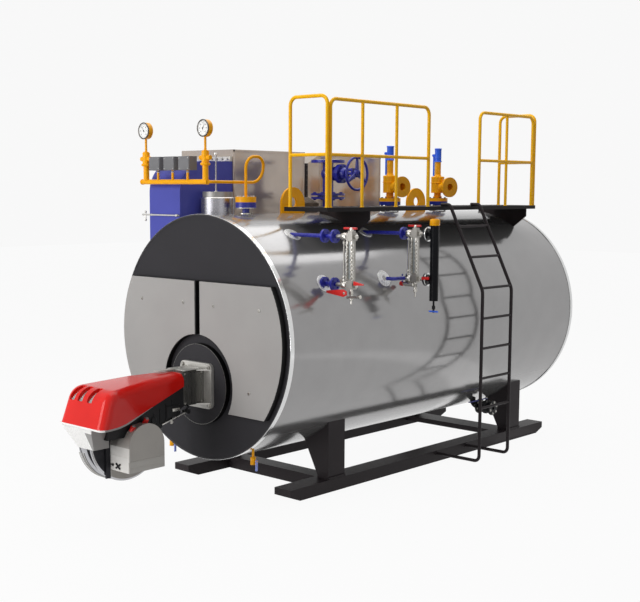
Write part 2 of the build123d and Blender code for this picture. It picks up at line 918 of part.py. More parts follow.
def siphon_header():
    """Siphon pipe with its loop, and the header with its stubs and cocks."""
    y = behind(siphon_place)
    far = y + siphon_loop_reach
    header_y = behind(header_place)
    flange_low = siphon_flange_bottom + siphon_flange_thickness
    flange_high = flange_low + siphon_flange_thickness
    path = [
        (0, y, flange_high),
        (0, y, siphon_loop_top),
        (0, far, siphon_loop_top),
        (siphon_loop_shift, far, header_z),
        (siphon_loop_shift, header_y, header_z),
        (header_right - header_overlap, header_y, header_z),
    ]
    form = bar((0, y, flange_low), (0, y, flange_high), siphon_flange_radius)
    form += pipe(path, siphon_bends, siphon_radius)
    form += bar((header_left, header_y, header_z), (header_right, header_y, header_z), header_radius)
    for x in gauge_x:
        form += bar((x, header_y, header_z), (x, header_y, gauge_stub_top), gauge_stub_radius)
        form += bar((x, header_y, gauge_stub_top), (x, header_y, cock_top), cock_radius)
        middle = (gauge_stub_top + cock_top) / 2
        form += bar((x - cock_arm, header_y, middle), (x + cock_arm, header_y, middle), cock_arm_radius)
    for x in switch_x:
        form += bar((x, header_y, header_z), (x, header_y, switch_bottom), switch_stub_radius)
    return form


def pressure_gauge(x):
    """Round gauge on its stem."""
    y = behind(header_place)
    case = bar((x, y - gauge_depth / 2, gauge_z), (x, y + gauge_depth / 2, gauge_z), gauge_radius)
    return case + bar((x, y, cock_top), (x, y, gauge_z), gauge_stem_radius)


def pressure_switches():
    y = behind(header_place)
    half = switch_width / 2
    depth = (y - switch_depth / 2, y + switch_depth / 2)
    height = (switch_bottom, switch_top)
    return Compound(children=[block((x - half, x + half), depth, height) for x in switch_x])


def lifting_lug(place):
    """Arched plate with an eye, standing on the crown."""
    y = behind(place)
    radius = lug_length / 2
    shoulder = lug_top - radius
    lug = bar((-lug_thickness / 2, y, shoulder), (lug_thickness / 2, y, shoulder), radius)
    width = (-lug_thickness / 2, lug_thickness / 2)
    lug += block(width, (y - radius, y + radius), (axis_height, shoulder))
    eye = lug_top - lug_hole_drop
    lug -= bar((-lug_thickness, y, eye), (lug_thickness, y, eye), lug_hole_radius)
    return lug - shell_form()


def steam_bolt_holes(y):
    """Cutting bars through the steam valve's top flange."""
    holes = []
    for number in range(steam_bolt_count):
        angle = radians(360 * (number + 0.5) / steam_bolt_count)
        hole_x = steam_bolt_circle / 2 * cos(angle)
        hole_y = y + steam_bolt_circle / 2 * sin(angle)
        low = steam_face - steam_flange_thickness
        holes.append(bar((hole_x, hole_y, low), (hole_x, hole_y, steam_face), steam_bolt_hole))
    return holes


def steam_valve():
    """Stop valve on its nozzle, with a side bonnet, yoke and stem."""
    y = behind(steam_place)
    flange_top = steam_flange_bottom + 2 * steam_flange_thickness
    gap_low = (steam_flange_bottom + flange_top - steam_joint_gap) / 2
    gap_high = gap_low + steam_joint_gap
    top_flange = steam_face - steam_flange_thickness
    body_z = steam_stem_height
    valve = bar((0, y, axis_height), (0, y, steam_face), steam_neck_radius) - shell_form()
    valve += bar((0, y, steam_flange_bottom), (0, y, gap_low), steam_flange_radius)
    valve += bar((0, y, gap_low), (0, y, gap_high), steam_raised_face_radius)
    valve += bar((0, y, gap_high), (0, y, flange_top), steam_flange_radius)
    valve += bar((0, y, top_flange), (0, y, steam_face), steam_flange_radius)
    valve += Pos(0, y, body_z) * Sphere(steam_body_radius)
    valve += bar((0, y, body_z), (bonnet_flange_start, y, body_z), bonnet_radius)
    valve += bar((bonnet_flange_start, y, body_z), (bonnet_flange_end, y, body_z), bonnet_flange_radius)
    for step in (-yoke_spread, yoke_spread):
        valve += bar((bonnet_flange_end, y, body_z + step), (yoke_end, y, body_z + step), yoke_bar)
    bridge = (body_z - yoke_spread - yoke_bar, body_z + yoke_spread + yoke_bar)
    sides = (y - 2 * yoke_bar, y + 2 * yoke_bar)
    valve += block((yoke_end, yoke_end + 2 * yoke_bar), sides, bridge)
    valve += bar((0, y, body_z), (stem_end, y, body_z), stem_radius)
    valve -= bar((0, y, steam_face - steam_bore_depth), (0, y, steam_face), steam_bore_radius)
    return valve - steam_bolt_holes(y)


def steam_handwheel():
    """Spoked wheel on the stem."""
    half = wheel_hub_length / 2
    wheel = Rot(0, 90, 0) * Torus(wheel_rim_radius, wheel_rim_bar)
    wheel += bar((-half, 0, 0), (half, 0, 0), wheel_hub_radius)
    for number in range(wheel_spokes):
        angle = radians(90 + 360 * number / wheel_spokes)
        tip = (0, wheel_rim_radius * cos(angle), wheel_rim_radius * sin(angle))
        wheel += bar((0, 0, 0), tip, wheel_spoke_radius)
    wheel -= bar((-half, 0, 0), (half, 0, 0), stem_radius + running_clearance)
    return Pos(wheel_x, behind(steam_place), steam_stem_height) * wheel


def safety_valve(place):
    """Spring safety valve with a side outlet, and ears for its lever."""
    y = behind(place)
    joint = safety_flange_bottom + safety_flange_thickness
    body_low = joint + safety_flange_thickness
    valve = bar((0, y, axis_height), (0, y, safety_flange_bottom), safety_neck_radius) - shell_form()
    valve += bar((0, y, safety_flange_bottom), (0, y, body_low), safety_flange_radius)
    valve += bar((0, y, body_low), (0, y, safety_throat_top), safety_throat_radius)
    valve += bar((0, y, safety_throat_top), (0, y, safety_body_top), safety_body_radius)
    valve += bar((0, y, safety_body_top), (0, y, safety_bonnet_top), safety_bonnet_radius)
    valve += bar((0, y, safety_bonnet_top), (0, y, safety_cap_top), safety_cap_radius)
    turn = radians(safety_turn)
    out = Vector(cos(turn), sin(turn), 0)
    centre = Vector(0, y, safety_outlet_z)
    face = centre + out * safety_outlet_reach
    valve += bar(tuple(centre), tuple(face), safety_outlet_radius)
    valve += bar(tuple(face - out * safety_outlet_thickness), tuple(face), safety_outlet_flange)
    valve -= bar(tuple(face - out * safety_bore_depth), tuple(face), safety_bore_radius)
    inner = lever_thickness / 2 + lever_side_gap
    for side in (-1, 1):
        ear = (y + side * inner, y + side * (inner + lever_ear_thickness))
        height = (lever_pivot_z - lever_ear_radius, lever_pivot_z + lever_ear_radius)
        valve += block((-lever_pivot_reach, 0), ear, height)
        tip = (-lever_pivot_reach, ear[1], lever_pivot_z)
        valve += bar((-lever_pivot_reach, ear[0], lever_pivot_z), tip, lever_ear_radius)
    reach = inner + lever_ear_thickness
    start = (-lever_pivot_reach, y - reach, lever_pivot_z)
    return valve + bar(start, (-lever_pivot_reach, y + reach, lever_pivot_z), lever_pin_radius)


def safety_lever(place):
    """Flat lever that hangs from the pin between the ears."""
    y = behind(place)
    x = -lever_pivot_reach
    span = (y - lever_thickness / 2, y + lever_thickness / 2)
    start = (x, span[0], lever_pivot_z)
    end = (x, span[1], lever_pivot_z)
    half = lever_width / 2
    lever = block((x - half, x + half), span, (lever_pivot_z - lever_length, lever_pivot_z))
    lever += bar(start, end, lever_eye_radius)
    return lever - bar(start, end, lever_pin_radius + running_clearance)


def flange_along_x(x, y, z):
    """Round flange with its axis along X."""
    return bar((x, y, z), (x + level_flange_thickness, y, z), level_flange_radius)


def level_column(x, y):
    """Square gauge column between two heads, with a thin rod beside it."""
    half = level_column_width / 2
    head = level_head / 2
    column = block((x - half, x + half), (y - half, y + half), (level_bottom, level_top + level_overrun))
    for z in (level_bottom, level_top):
        column += block((x - head, x + head), (y - head, y + head), (z - head, z + head))
    rod_x = x - level_rod_offset
    return column + bar((rod_x, y, level_bottom), (rod_x, y, level_top), level_rod_radius)


def level_gauge_front():
    y = behind(gauge_front_place)
    gauge = level_column(front_column_x, y)
    for z in (level_top, level_bottom):
        arm = bar((0, y, z), (front_column_x, y, z), level_pipe_radius)
        for x in front_flange_x:
            arm += flange_along_x(x, y, z)
        gauge += arm - shell_form()
    return gauge


def level_gauge_rear():
    """Column on arms that run on to the water column."""
    y = behind(gauge_rear_place)
    far = water_column_x - water_column_radius
    port_y = y - rear_port_shift
    gauge = bar((0, y, level_top), (far, y, level_top), level_pipe_radius)
    lower = [
        (shell_radius - shell_wall, port_y, level_bottom),
        (rear_port_run, port_y, level_bottom),
        (rear_port_run, y, level_bottom),
        (far, y, level_bottom),
    ]
    gauge += pipe(lower, level_pipe_bend, level_pipe_radius)
    gauge -= shell_form()
    for z in (level_top, level_bottom):
        gauge += flange_along_x(water_flange_x, y, z)
    gauge += flange_along_x(rear_flange_x, y, level_top)
    return gauge + level_column(rear_column_x, y)


def water_column():
    x = water_column_x
    y = behind(gauge_rear_place)
    column = bar((x, y, water_column_low), (x, y, water_column_high), water_column_radius)
    column += bar((x, y, water_column_high), (x, y, water_cap_top), water_cap_radius)
    return column + bar((x, y, water_stem_low), (x, y, water_column_low), water_stem_radius)


def blowdown_z():
    """Height of the blow-down valve's axis."""
    return keel(blowdown_x) - blowdown_drop


def blowdown_valve():
    """Drain pipe from the keel with a flanged ball valve."""
    y = behind(blowdown_place)
    z = blowdown_z()
    end = blowdown_flange_x[-1] + blowdown_flange_thickness
    points = [(blowdown_x, y, axis_height), (blowdown_x, y, z), (end, y, z)]
    valve = pipe(points, blowdown_bend, blowdown_pipe_radius) - shell_form()
    for x in blowdown_flange_x:
        valve += bar((x, y, z), (x + blowdown_flange_thickness, y, z), blowdown_flange_radius)
    middle = blowdown_middle()
    half = blowdown_body_length / 2
    valve += bar((middle - half, y, z), (middle + half, y, z), blowdown_body_radius)
    valve += bar((middle, y, z), (middle, y, z + blowdown_stem_rise), blowdown_stem_radius)
    return valve - bar((end - blowdown_bore_depth, y, z), (end, y, z), blowdown_bore_radius)


def blowdown_middle():
    """X of the ball valve's stem."""
    return (sum(blowdown_flange_x) + blowdown_flange_thickness) / 2


def blowdown_lever():
    """Flat lever on the stem, lying forward."""
    x = blowdown_middle()
    y = behind(blowdown_place)
    top = blowdown_z() + blowdown_stem_rise - stem_tip
    low = top - handle_thickness
    half = handle_width / 2
    lever = block((x - half, x + half), (y - blowdown_lever_length, y), (low, top))
    lever += bar((x, y, low), (x, y, top), blowdown_boss_radius)
    return lever - bar((x, y, low), (x, y, top), blowdown_stem_radius + running_clearance)


def drain_z():
    """Height of the drain cocks' stems."""
    return keel(drain_x) - drain_drop


def drain_cock(side):
    """Small ball valve hanging below the shell's front."""
    x = side * drain_x
    y = behind(drain_place)
    z = drain_z()
    cock = bar((x, y, z), (x, y, axis_height), drain_pipe_radius) - shell_form()
    half = drain_body_length / 2
    cock += bar((x, y, z - half), (x, y, z + half), drain_body_radius)
    return cock + bar((x, y, z), (x + drain_stem_reach, y, z), drain_stem_radius)


def drain_lever(side):
    """Flat lever that hangs from the cock's stem."""
    x = side * drain_x + drain_stem_reach - stem_tip
    y = behind(drain_place)
    z = drain_z()
    inner = x - handle_thickness
    half = handle_width / 2
    lever = block((inner, x), (y - half, y + half), (z - drain_lever_length, z))
    lever += bar((inner, y, z), (x, y, z), drain_boss_radius)
    return lever - bar((inner, y, z), (x, y, z), drain_stem_radius + running_clearance)


def skid():
    """Beams and the saddles that stand on them."""
    pieces = {}
    rows = (("front", 0.0), ("rear", saddle_spacing))
    rear_cross = saddle_spacing - rear_cross_shift
    pieces["cross_beam_front"] = cross_beam(0.0, cross_width, beam_height)
    pieces["cross_beam_rear"] = cross_beam(rear_cross, rear_cross_width, rear_cross_depth)
    for name, side in (("left", -1), ("right", 1)):
        pieces[f"skid_beam_{name}"] = skid_beam(side)
    for row, middle in rows:
        pieces[f"{row}_saddles"] = Compound(children=[saddle(side, middle) for side in (-1, 1)])
    return pieces


def burner():
    return {
        "burner_plate": burner_plate(),
        "burner_flange": burner_flange(),
        "burner_neck": upright_box(neck_width, neck_height, neck_front, flange_face, neck_round),
        "burner_hood": burner_hood(),
        "burner_base": burner_base(),
        "burner_body": burner_body(),
        "fan_housing": fan_housing(),
        "fan_rings": fan_rings(),
        "burner_motor": motor_form(),
    }


def vessel():
    plate_radius = shell_radius - trim_rim
    rings = [trim_ring(front_y, behind(trim_depth)), trim_ring(rear_y, rear_y - trim_depth)]
    return {
        "shell": shell(),
        "front_plate": end_disc(front_y, behind(trim_depth), plate_radius),
        "rear_plate": rear_plate(),
        "trim_rings": Compound(children=rings),
        "cover_panel_left": cover_panel(-1),
        "cover_panel_right": cover_panel(1),
    }


def access():
    end_y = (behind(platform_start + end_rail_inset), behind(platform_end - end_rail_inset))
    side_start = platform_start + end_rail_inset + corner_gap
    side_end = platform_end - end_rail_inset - corner_gap
    return {
        "platform": platform(),
        "platform_gussets": Compound(children=[gusset(place) for place in gusset_places]),
        "rail_front": end_rail(end_y[0]),
        "rail_side_front": side_rail(side_start, entry_start, front_posts),
        "rail_side_rear": side_rail(entry_end, side_end, rear_posts),
        "rail_rear": end_rail(end_y[1]),
        "ladder": ladder(),
    }


def flue():
    return {
        "economiser": economiser(),
        "condenser": condenser(),
        "joint_flange": joint_flange(),
        "tapered_duct": tapered_duct(),
        "flue_elbow": flue_elbow(),
        "damper_rod": damper_rod(),
        "box_supports": box_supports(),
    }


def fittings():
    pieces = {
        "top_stub": top_stub(),
        "siphon_nozzle": siphon_nozzle(),
        "siphon_header": siphon_header(),
        "pressure_switches": pressure_switches(),
        "lifting_lugs": Compound(children=[lifting_lug(place) for place in lug_places]),
        "steam_valve": steam_valve(),
        "steam_handwheel": steam_handwheel(),
        "level_gauge_front": level_gauge_front(),
        "level_gauge_rear": level_gauge_rear(),
        "water_column": water_column(),
        "blowdown_valve": blowdown_valve(),
        "blowdown_lever": blowdown_lever(),
        "drain_cocks": Compound(children=[drain_cock(side) for side in (-1, 1)]),
        "drain_lever_left": drain_lever(-1),
        "drain_lever_right": drain_lever(1),
    }
    for name, x in zip(("left", "right"), gauge_x):
        pieces[f"pressure_gauge_{name}"] = pressure_gauge(x)
    for name, place in zip(("front", "rear"), safety_places):
        pieces[f"safety_valve_{name}"] = safety_valve(place)
        pieces[f"safety_lever_{name}"] = safety_lever(place)
    return pieces


for group in (vessel(), burner(), skid(), access(), flue(), fittings()):
    for name, shape in group.items():
        save(name, shape)
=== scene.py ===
"""Looks of the industrial boiler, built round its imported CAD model. Metres, +Z up, the platform on +X."""
import math
import bmesh
import bpy
from mathutils import Matrix, Vector


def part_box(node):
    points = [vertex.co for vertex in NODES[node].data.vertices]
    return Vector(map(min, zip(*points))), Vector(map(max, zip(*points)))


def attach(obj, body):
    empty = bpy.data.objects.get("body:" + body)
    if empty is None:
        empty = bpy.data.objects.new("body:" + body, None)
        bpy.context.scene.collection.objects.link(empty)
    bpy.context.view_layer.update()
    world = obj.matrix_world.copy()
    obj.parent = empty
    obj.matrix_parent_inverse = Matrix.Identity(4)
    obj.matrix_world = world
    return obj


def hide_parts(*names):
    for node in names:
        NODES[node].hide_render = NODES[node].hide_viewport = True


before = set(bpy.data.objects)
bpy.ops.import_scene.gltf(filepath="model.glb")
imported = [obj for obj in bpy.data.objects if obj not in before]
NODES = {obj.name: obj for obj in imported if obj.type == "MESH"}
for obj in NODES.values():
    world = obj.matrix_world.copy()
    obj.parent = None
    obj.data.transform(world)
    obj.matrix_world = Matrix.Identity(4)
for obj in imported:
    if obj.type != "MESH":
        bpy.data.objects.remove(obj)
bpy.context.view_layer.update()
ROOT = "boiler"
X, Y, Z = Vector((1, 0, 0)), Vector((0, 1, 0)), Vector((0, 0, 1))
scene = bpy.context.scene

# Places that the pieces share with the CAD model
AXIS_Z = 1.433
SHELL_R = 1.090
FRONT = -0.957
REAR = 3.593
CROWN = AXIS_Z + SHELL_R
BURNER_Z = 1.022


# ---- materials

def rgb(code):
    """Linear colour of a hex code."""
    values = [int(code[i:i + 2], 16) / 255 for i in (0, 2, 4)]
    linear = [v / 12.92 if v <= 0.04045 else ((v + 0.055) / 1.055) ** 2.4 for v in values]
    return (*linear, 1.0)


def tint(colour, share):
    """A colour times a share, below white."""
    return (*(min(1.0, c * share) for c in colour[:3]), 1.0)


class Shader:
    """Short calls for building one node material."""

    def __init__(self, name):
        self.material = bpy.data.materials.new(name)
        self.material.use_nodes = True
        self.nodes = self.material.node_tree.nodes
        self.links = self.material.node_tree.links
        self.bsdf = self.nodes["Principled BSDF"]
        self.place = self.nodes.new("ShaderNodeTexCoord").outputs["Object"]

    def link(self, source, target):
        self.links.new(source, target)

    def math(self, kind, a, b=None):
        node = self.nodes.new("ShaderNodeMath")
        node.operation = kind
        for socket, value in zip(node.inputs, (a, b)):
            if isinstance(value, (int, float)):
                socket.default_value = value
            elif value is not None:
                self.link(value, socket)
        return node.outputs[0]

    def noise(self, scale, detail=3.0, stretch=None):
        source = self.place
        if stretch:
            mapping = self.nodes.new("ShaderNodeMapping")
            mapping.inputs["Scale"].default_value = stretch
            self.link(self.place, mapping.inputs["Vector"])
            source = mapping.outputs["Vector"]
        node = self.nodes.new("ShaderNodeTexNoise")
        node.inputs["Scale"].default_value = scale
        node.inputs["Detail"].default_value = detail
        self.link(source, node.inputs["Vector"])
        return node.outputs["Fac"]

    def spread(self, source, low, high, start=0.3, end=0.7):
        node = self.nodes.new("ShaderNodeMapRange")
        for name, value in (("From Min", start), ("From Max", end), ("To Min", low), ("To Max", high)):
            node.inputs[name].default_value = value
        self.link(source, node.inputs["Value"])
        return node.outputs["Result"]

    def mix(self, factor, a, b):
        node = self.nodes.new("ShaderNodeMix")
        node.data_type = "RGBA"
        for socket, value in ((node.inputs["Factor"], factor), (node.inputs[6], a), (node.inputs[7], b)):
            if isinstance(value, (float, tuple)):
                socket.default_value = value
            else:
                self.link(value, socket)
        return node.outputs[2]

    def bump(self, strength, distance, height):
        node = self.nodes.new("ShaderNodeBump")
        node.inputs["Strength"].default_value = strength
        node.inputs["Distance"].default_value = distance
        self.link(height, node.inputs["Height"])
        return node

    def inside(self, ranges):
        """1 where the place is inside every (axis, low, high) range, else 0."""
        split = self.nodes.new("ShaderNodeSeparateXYZ")
        self.link(self.place, split.inputs[0])
        factor = None
        for axis, low, high in ranges:
            value = split.outputs["XYZ".index(axis)]
            for kind, edge in (("GREATER_THAN", low), ("LESS_THAN", high)):
                if edge is None:
                    continue
                test = self.math(kind, value, edge)
                factor = test if factor is None else self.math("MULTIPLY", factor, test)
        return factor


def shade(name, code, rough, metal=0.0, coat=0.0, mottle=0.10, scale=5.0, grain=0.12, grain_scale=90.0,
          rough_span=0.07, stretch=None, zones=(), wave=0.0, wave_scale=2.0, spec=0.3):
    """Procedural material. A zone is (ranges, hex code, metal, rough)."""
    s = Shader(name)
    base = rgb(code)
    blotch = s.noise(scale, 4.0)
    grains = s.noise(grain_scale, 2.0, stretch)
    colour = s.mix(s.spread(blotch, 0.0, 1.0), tint(base, 1 - mottle), tint(base, 1 + mottle))
    roughness = s.spread(grains, rough - rough_span, rough + rough_span)
    metallic = metal
    for ranges, zone_code, zone_metal, zone_rough in zones:
        factor = s.inside(ranges)
        tone = rgb(zone_code)
        colour = s.mix(factor, colour, s.mix(s.spread(blotch, 0.0, 1.0), tint(tone, 1 - mottle), tone))
        away = s.math("SUBTRACT", 1.0, factor)
        metallic = s.math("ADD", s.math("MULTIPLY", away, metallic), s.math("MULTIPLY", factor, zone_metal))
        roughness = s.math("ADD", s.math("MULTIPLY", away, roughness), s.math("MULTIPLY", factor, zone_rough))
    s.link(colour, s.bsdf.inputs["Base Color"])
    s.link(roughness, s.bsdf.inputs["Roughness"])
    if zones:
        s.link(metallic, s.bsdf.inputs["Metallic"])
    else:
        s.bsdf.inputs["Metallic"].default_value = metal
    for socket, value in (("Specular IOR Level", spec), ("Coat Weight", coat), ("Coat Roughness", 0.08)):
        s.bsdf.inputs[socket].default_value = value
    bump = s.bump(grain, 0.0006, grains)
    if wave:
        swell = s.bump(wave, 0.02, s.noise(wave_scale, 1.0))
        s.link(swell.outputs["Normal"], bump.inputs["Normal"])
    s.link(bump.outputs["Normal"], s.bsdf.inputs["Normal"])
    return s.material


# What several materials share
BRIGHT_METAL = dict(metal=0.8, mottle=0.03, grain=0.03, rough_span=0.03)
DARK_COAT = dict(mottle=0.06, scale=2.5, grain=0.25, grain_scale=220, spec=0.1)
GREY_COAT = dict(mottle=0.04, scale=2.0, grain=0.22, grain_scale=260)
GAUGE_PAINT = dict(coat=0.15, mottle=0.08, scale=16, grain=0.15)
IN_SHADE = ("0c0b0c", 0.0, 0.5)
GAUGE_METAL = ("989590", 0.85, 0.36)

POLISHED = shade("polished_cladding", "a09f9f", 0.16, metal=0.60, mottle=0.03, grain=0.03, grain_scale=120,
                 rough_span=0.03, stretch=(1, 0.03, 1), wave=0.05, wave_scale=1.2)
BOX_STEEL = shade("polished_boxes", "b5aaa0", 0.17, metal=0.60, mottle=0.05, grain=0.03, grain_scale=150,
                  rough_span=0.04, stretch=(1, 1, 0.04), wave=0.18, wave_scale=2.5)
BRIGHT = shade("bright_trim", "dcdcdc", 0.14, **BRIGHT_METAL)
TRIM = shade("ring_trim", "dcdcdc", 0.14, **BRIGHT_METAL,
             zones=[([("Y", None, FRONT - 0.0055)], "2a292b", 0.0, 0.5)])
# Silver collars made near-white and diffuse: real silver metal with a painted reflection of the bright surroundings.
COLLAR = shade("collar_silver_painted_reflection", "e9e9e8", 0.28, metal=0.35, mottle=0.03, grain=0.03)
# The dark band at the far edge and the grey band across the rings are painted reflection bands on the polished rings.
CHROME = shade("chrome_band", "b9b9bc", 0.16, metal=0.9, mottle=0.03, grain=0.02, rough_span=0.03,
               zones=[([("X", None, -0.240)], "1b1b1d", 0.2, 0.4), ([("X", -0.212, -0.196)], "4a4a4c", 0.6, 0.3)])
FACE = shade("dark_face", "323134", 0.55, **DARK_COAT)
PANEL = shade("panel_coat", "9f9d9b", 0.42, **GREY_COAT,
              zones=[([("Y", FRONT - 0.0535, FRONT + 0.1)], *IN_SHADE), ([("X", -0.036, 0.032)], *IN_SHADE)])
BURNER_PLATE = shade("burner_plate_coat", "333235", 0.55, **DARK_COAT,
                     zones=[([("Y", FRONT - 0.0485, None)], *IN_SHADE)])
DOOR = shade("door_coat", "a7a4a2", 0.42, **GREY_COAT)
BLACK = shade("black_frame", "302b2d", 0.42, mottle=0.12, scale=3.0, grain=0.30, grain_scale=160, spec=0.12)
BLACK_GLOSS = shade("black_enamel", "121317", 0.22, coat=0.05, mottle=0.10, grain=0.08, spec=0.12)
CASTING = shade("black_casting", "161618", 0.45, mottle=0.20, scale=14, grain=0.6, grain_scale=140, spec=0.2)
RED = shade("red_cover", "d81b14", 0.16, coat=0.18, mottle=0.05, scale=3, grain=0.04, grain_scale=300,
            rough_span=0.03, spec=0.15)
RED_HANDLE = shade("red_handle", "d21c18", 0.35, coat=0.2, mottle=0.08, scale=20, grain=0.15)
# The grey zone over +X behind the nose is painted shade on the side turned away from the lamps, on every piece of this
# material there.
WHITE = shade("white_base", "ecebe9", 0.28, coat=0.3, mottle=0.02, grain=0.06,
              zones=[([("X", 0.015, None), ("Y", -2.251, None)], "8f8d8b", 0.0, 0.35)])
NECK = shade("neck_steel", "6d6c69", 0.30, metal=0.85, mottle=0.08, scale=6, grain=0.12, stretch=(1, 1, 0.06))
FLANGE = shade("cast_flange", "c2c0bb", 0.34, metal=0.5, mottle=0.06, scale=9, grain=0.35)
# The lighter front face and the lighter lower +X side are lit copies of the motor's grey: painted light.
MOTOR = shade("motor_shell", "a19d98", 0.36, metal=0.25, mottle=0.04, scale=4, grain=0.18, grain_scale=200,
              zones=[([("Y", None, -1.942), ("Z", None, 0.62)], "d6d4d0", 0.1, 0.34),
                     ([("X", 0.195, None), ("Z", None, 0.506)], "b9b6b1", 0.1, 0.34)])
MESH = shade("fan_mesh", "26262a", 0.40, metal=0.5, mottle=0.15, scale=30, grain=0.8, grain_scale=420)
YELLOW = shade("yellow_rail", "ffbe10", 0.26, coat=0.1, mottle=0.05, scale=4, grain=0.05, spec=0.12)
YELLOW_FIT = shade("yellow_fittings", "fbae0a", 0.30, coat=0.1, mottle=0.06, scale=9, grain=0.12, grain_scale=160,
                   spec=0.12)
BLUE_DUCT = shade("blue_duct", "4c51a8", 0.34, coat=0.05, mottle=0.06, scale=2.2, grain=0.12, grain_scale=180,
                  spec=0.15)
BLUE = shade("valve_blue", "262a92", 0.28, coat=0.15, mottle=0.10, scale=16, grain=0.22, grain_scale=130)
BRIGHT_BLUE = shade("bright_blue", "3a70fa", 0.30, coat=0.2, mottle=0.06, scale=12, grain=0.10)
PALE_BLUE = shade("pale_blue", "9fb0ff", 0.32, coat=0.2, mottle=0.05, scale=12, grain=0.10)
SWITCH = shade("switch_grey", "78787a", 0.48, mottle=0.04, scale=9, grain=0.22, grain_scale=320, spec=0.15)
STEEL = shade("fitting_steel", "b9b6b0", 0.26, metal=1.0, mottle=0.08, scale=18, grain=0.14)
BOLT = shade("bolt_steel", "a7a5a0", 0.30, metal=1.0, mottle=0.12, scale=40, grain=0.10)
DARK_BOLT = shade("dark_bolt", "56534f", 0.35, metal=0.9, mottle=0.15, scale=40, grain=0.10)
DIAL = shade("dial_white", "f4f4f2", 0.40, mottle=0.015, scale=30, grain=0.03)
INK = shade("dial_ink", "161618", 0.45, mottle=0.10, scale=60, grain=0.05)
GLASS_GREY = shade("gauge_glass", "8b9091", 0.10, mottle=0.10, scale=40, grain=0.03, coat=0.6)
STUB = shade("stub_steel", "96959a", 0.26, metal=0.85, mottle=0.02, grain=0.02, rough_span=0.02,
             zones=[([("Z", CROWN + 0.147, CROWN + 0.200)], "8d8c8a", 0.5, 0.35)])
SAFETY = shade("safety_valve_paint", "f0a80c", 0.30, coat=0.1, spec=0.15, mottle=0.08, scale=10, grain=0.20,
               grain_scale=130,
               zones=[([("Z", None, CROWN + 0.104)], "1d2a86", 0.0, 0.3),
                      ([("Z", CROWN + 0.534, None)], "2f66ee", 0.0, 0.3)])
WATER = shade("water_column_paint", "0c0d11", 0.26, coat=0.02, mottle=0.10, grain=0.08, spec=0.08,
              zones=[([("Z", AXIS_Z + 1.010, None)], "f2a914", 0.0, 0.3)])
LEVEL = shade("level_gauge_mix", "2c309e", 0.28, **GAUGE_PAINT,
              zones=[([("X", 1.110, None), ("Z", 1.90, None)], *GAUGE_METAL)])
LEVEL_REAR = shade("rear_gauge_mix", "2c309e", 0.28, **GAUGE_PAINT,
                   zones=[([("X", 1.110, 1.290), ("Z", 1.90, None)], *GAUGE_METAL),
                          ([("X", 1.290, None)], "1d1e23", 0.0, 0.4)])
GAUGE_CASE = shade("gauge_case", "f6aa0c", 0.25, coat=0.12, spec=0.15, mottle=0.05, scale=12, grain=0.08)
LINER = shade("hood_liner", "a9b0ad", 0.45, mottle=0.10, scale=25, grain=0.5, grain_scale=90)
ROD = shade("rod_steel", "c9c7c3", 0.25, metal=1.0, mottle=0.06, scale=20, grain=0.08)
TREAD = shade("tread_steel", "201d1e", 0.45, mottle=0.12, scale=4, grain=0.35, grain_scale=150, spec=0.08)

CAD_LOOKS = (
    (POLISHED, "shell"), (FACE, "front_plate rear_plate"), (TRIM, "trim_rings"),
    (PANEL, "cover_panel_left cover_panel_right"), (BURNER_PLATE, "burner_plate"), (FLANGE, "burner_flange"),
    (NECK, "burner_neck"), (RED, "burner_hood"), (WHITE, "burner_base"), (CASTING, "burner_body blowdown_valve"),
    (MESH, "fan_housing"), (CHROME, "fan_rings"), (MOTOR, "burner_motor"), (TREAD, "platform"), (ROD, "damper_rod"),
    (BLACK, "skid_beam_left skid_beam_right cross_beam_front cross_beam_rear front_saddles rear_saddles "
            "platform_gussets ladder joint_flange box_supports"),
    (YELLOW, "rail_front rail_side_front rail_side_rear rail_rear"), (BOX_STEEL, "economiser condenser tapered_duct"),
    (BLUE_DUCT, "flue_elbow"), (STUB, "top_stub"), (YELLOW_FIT, "siphon_header lifting_lugs drain_cocks"),
    (BLUE, "siphon_nozzle steam_valve steam_handwheel blowdown_lever"), (SWITCH, "pressure_switches"),
    (LEVEL, "level_gauge_front"), (LEVEL_REAR, "level_gauge_rear"), (WATER, "water_column"),
    (PALE_BLUE, "drain_lever_left drain_lever_right"), (GAUGE_CASE, "pressure_gauge_left pressure_gauge_right"),
    (SAFETY, "safety_valve_front safety_valve_rear"), (BRIGHT_BLUE, "safety_lever_front safety_lever_rear"),
)
for look, names in CAD_LOOKS:
    for node in names.split():
        slots = NODES[node].data.materials
        if not slots:
            slots.append(look)
        for index in range(len(slots)):
            slots[index] = look


# ---- mesh tools

SHARP_ANGLE = 35
fresh = bmesh.new


def aim(place, axis):
    """Matrix that takes +Z to the axis and the origin to the place."""
    return Matrix.Translation(Vector(place)) @ Vector(axis).to_track_quat("Z", "Y").to_matrix().to_4x4()


def mesh_data(name, mesh):
    """Mesh data of a bmesh, with its faces turned outwards."""
    bmesh.ops.recalc_face_normals(mesh, faces=mesh.faces)
    data = bpy.data.meshes.new(name)
    mesh.to_mesh(data)
    mesh.free()
    return data


def add(name, data):
    """Object in the scene with the data."""
    thing = bpy.data.objects.new(name, data)
    scene.collection.objects.link(thing)
    return thing


def piece(name, mesh, material, body=ROOT):
    """Turn a bmesh into a piece that rides on a body."""
    data = mesh_data(name, mesh)
    data.shade_smooth()
    data.set_sharp_from_angle(angle=math.radians(SHARP_ANGLE))
    data.materials.append(material)
    thing = add(name, data)
    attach(thing, body)


def circle(radius, count, phase=0.0, height=0.0):
    """Points round +Z."""
    angles = [phase + math.tau * k / count for k in range(count)]
    return [Vector((radius * math.cos(a), radius * math.sin(a), height)) for a in angles]


def skin(mesh, loops):
    """Faces between closed loops of vertices, and on both ends."""
    for low, high in zip(loops, loops[1:]):
        for n in range(len(low)):
            after = (n + 1) % len(low)
            mesh.faces.new((low[n], low[after], high[after], high[n]))
    mesh.faces.new(loops[0])
    mesh.faces.new(loops[-1][::-1])


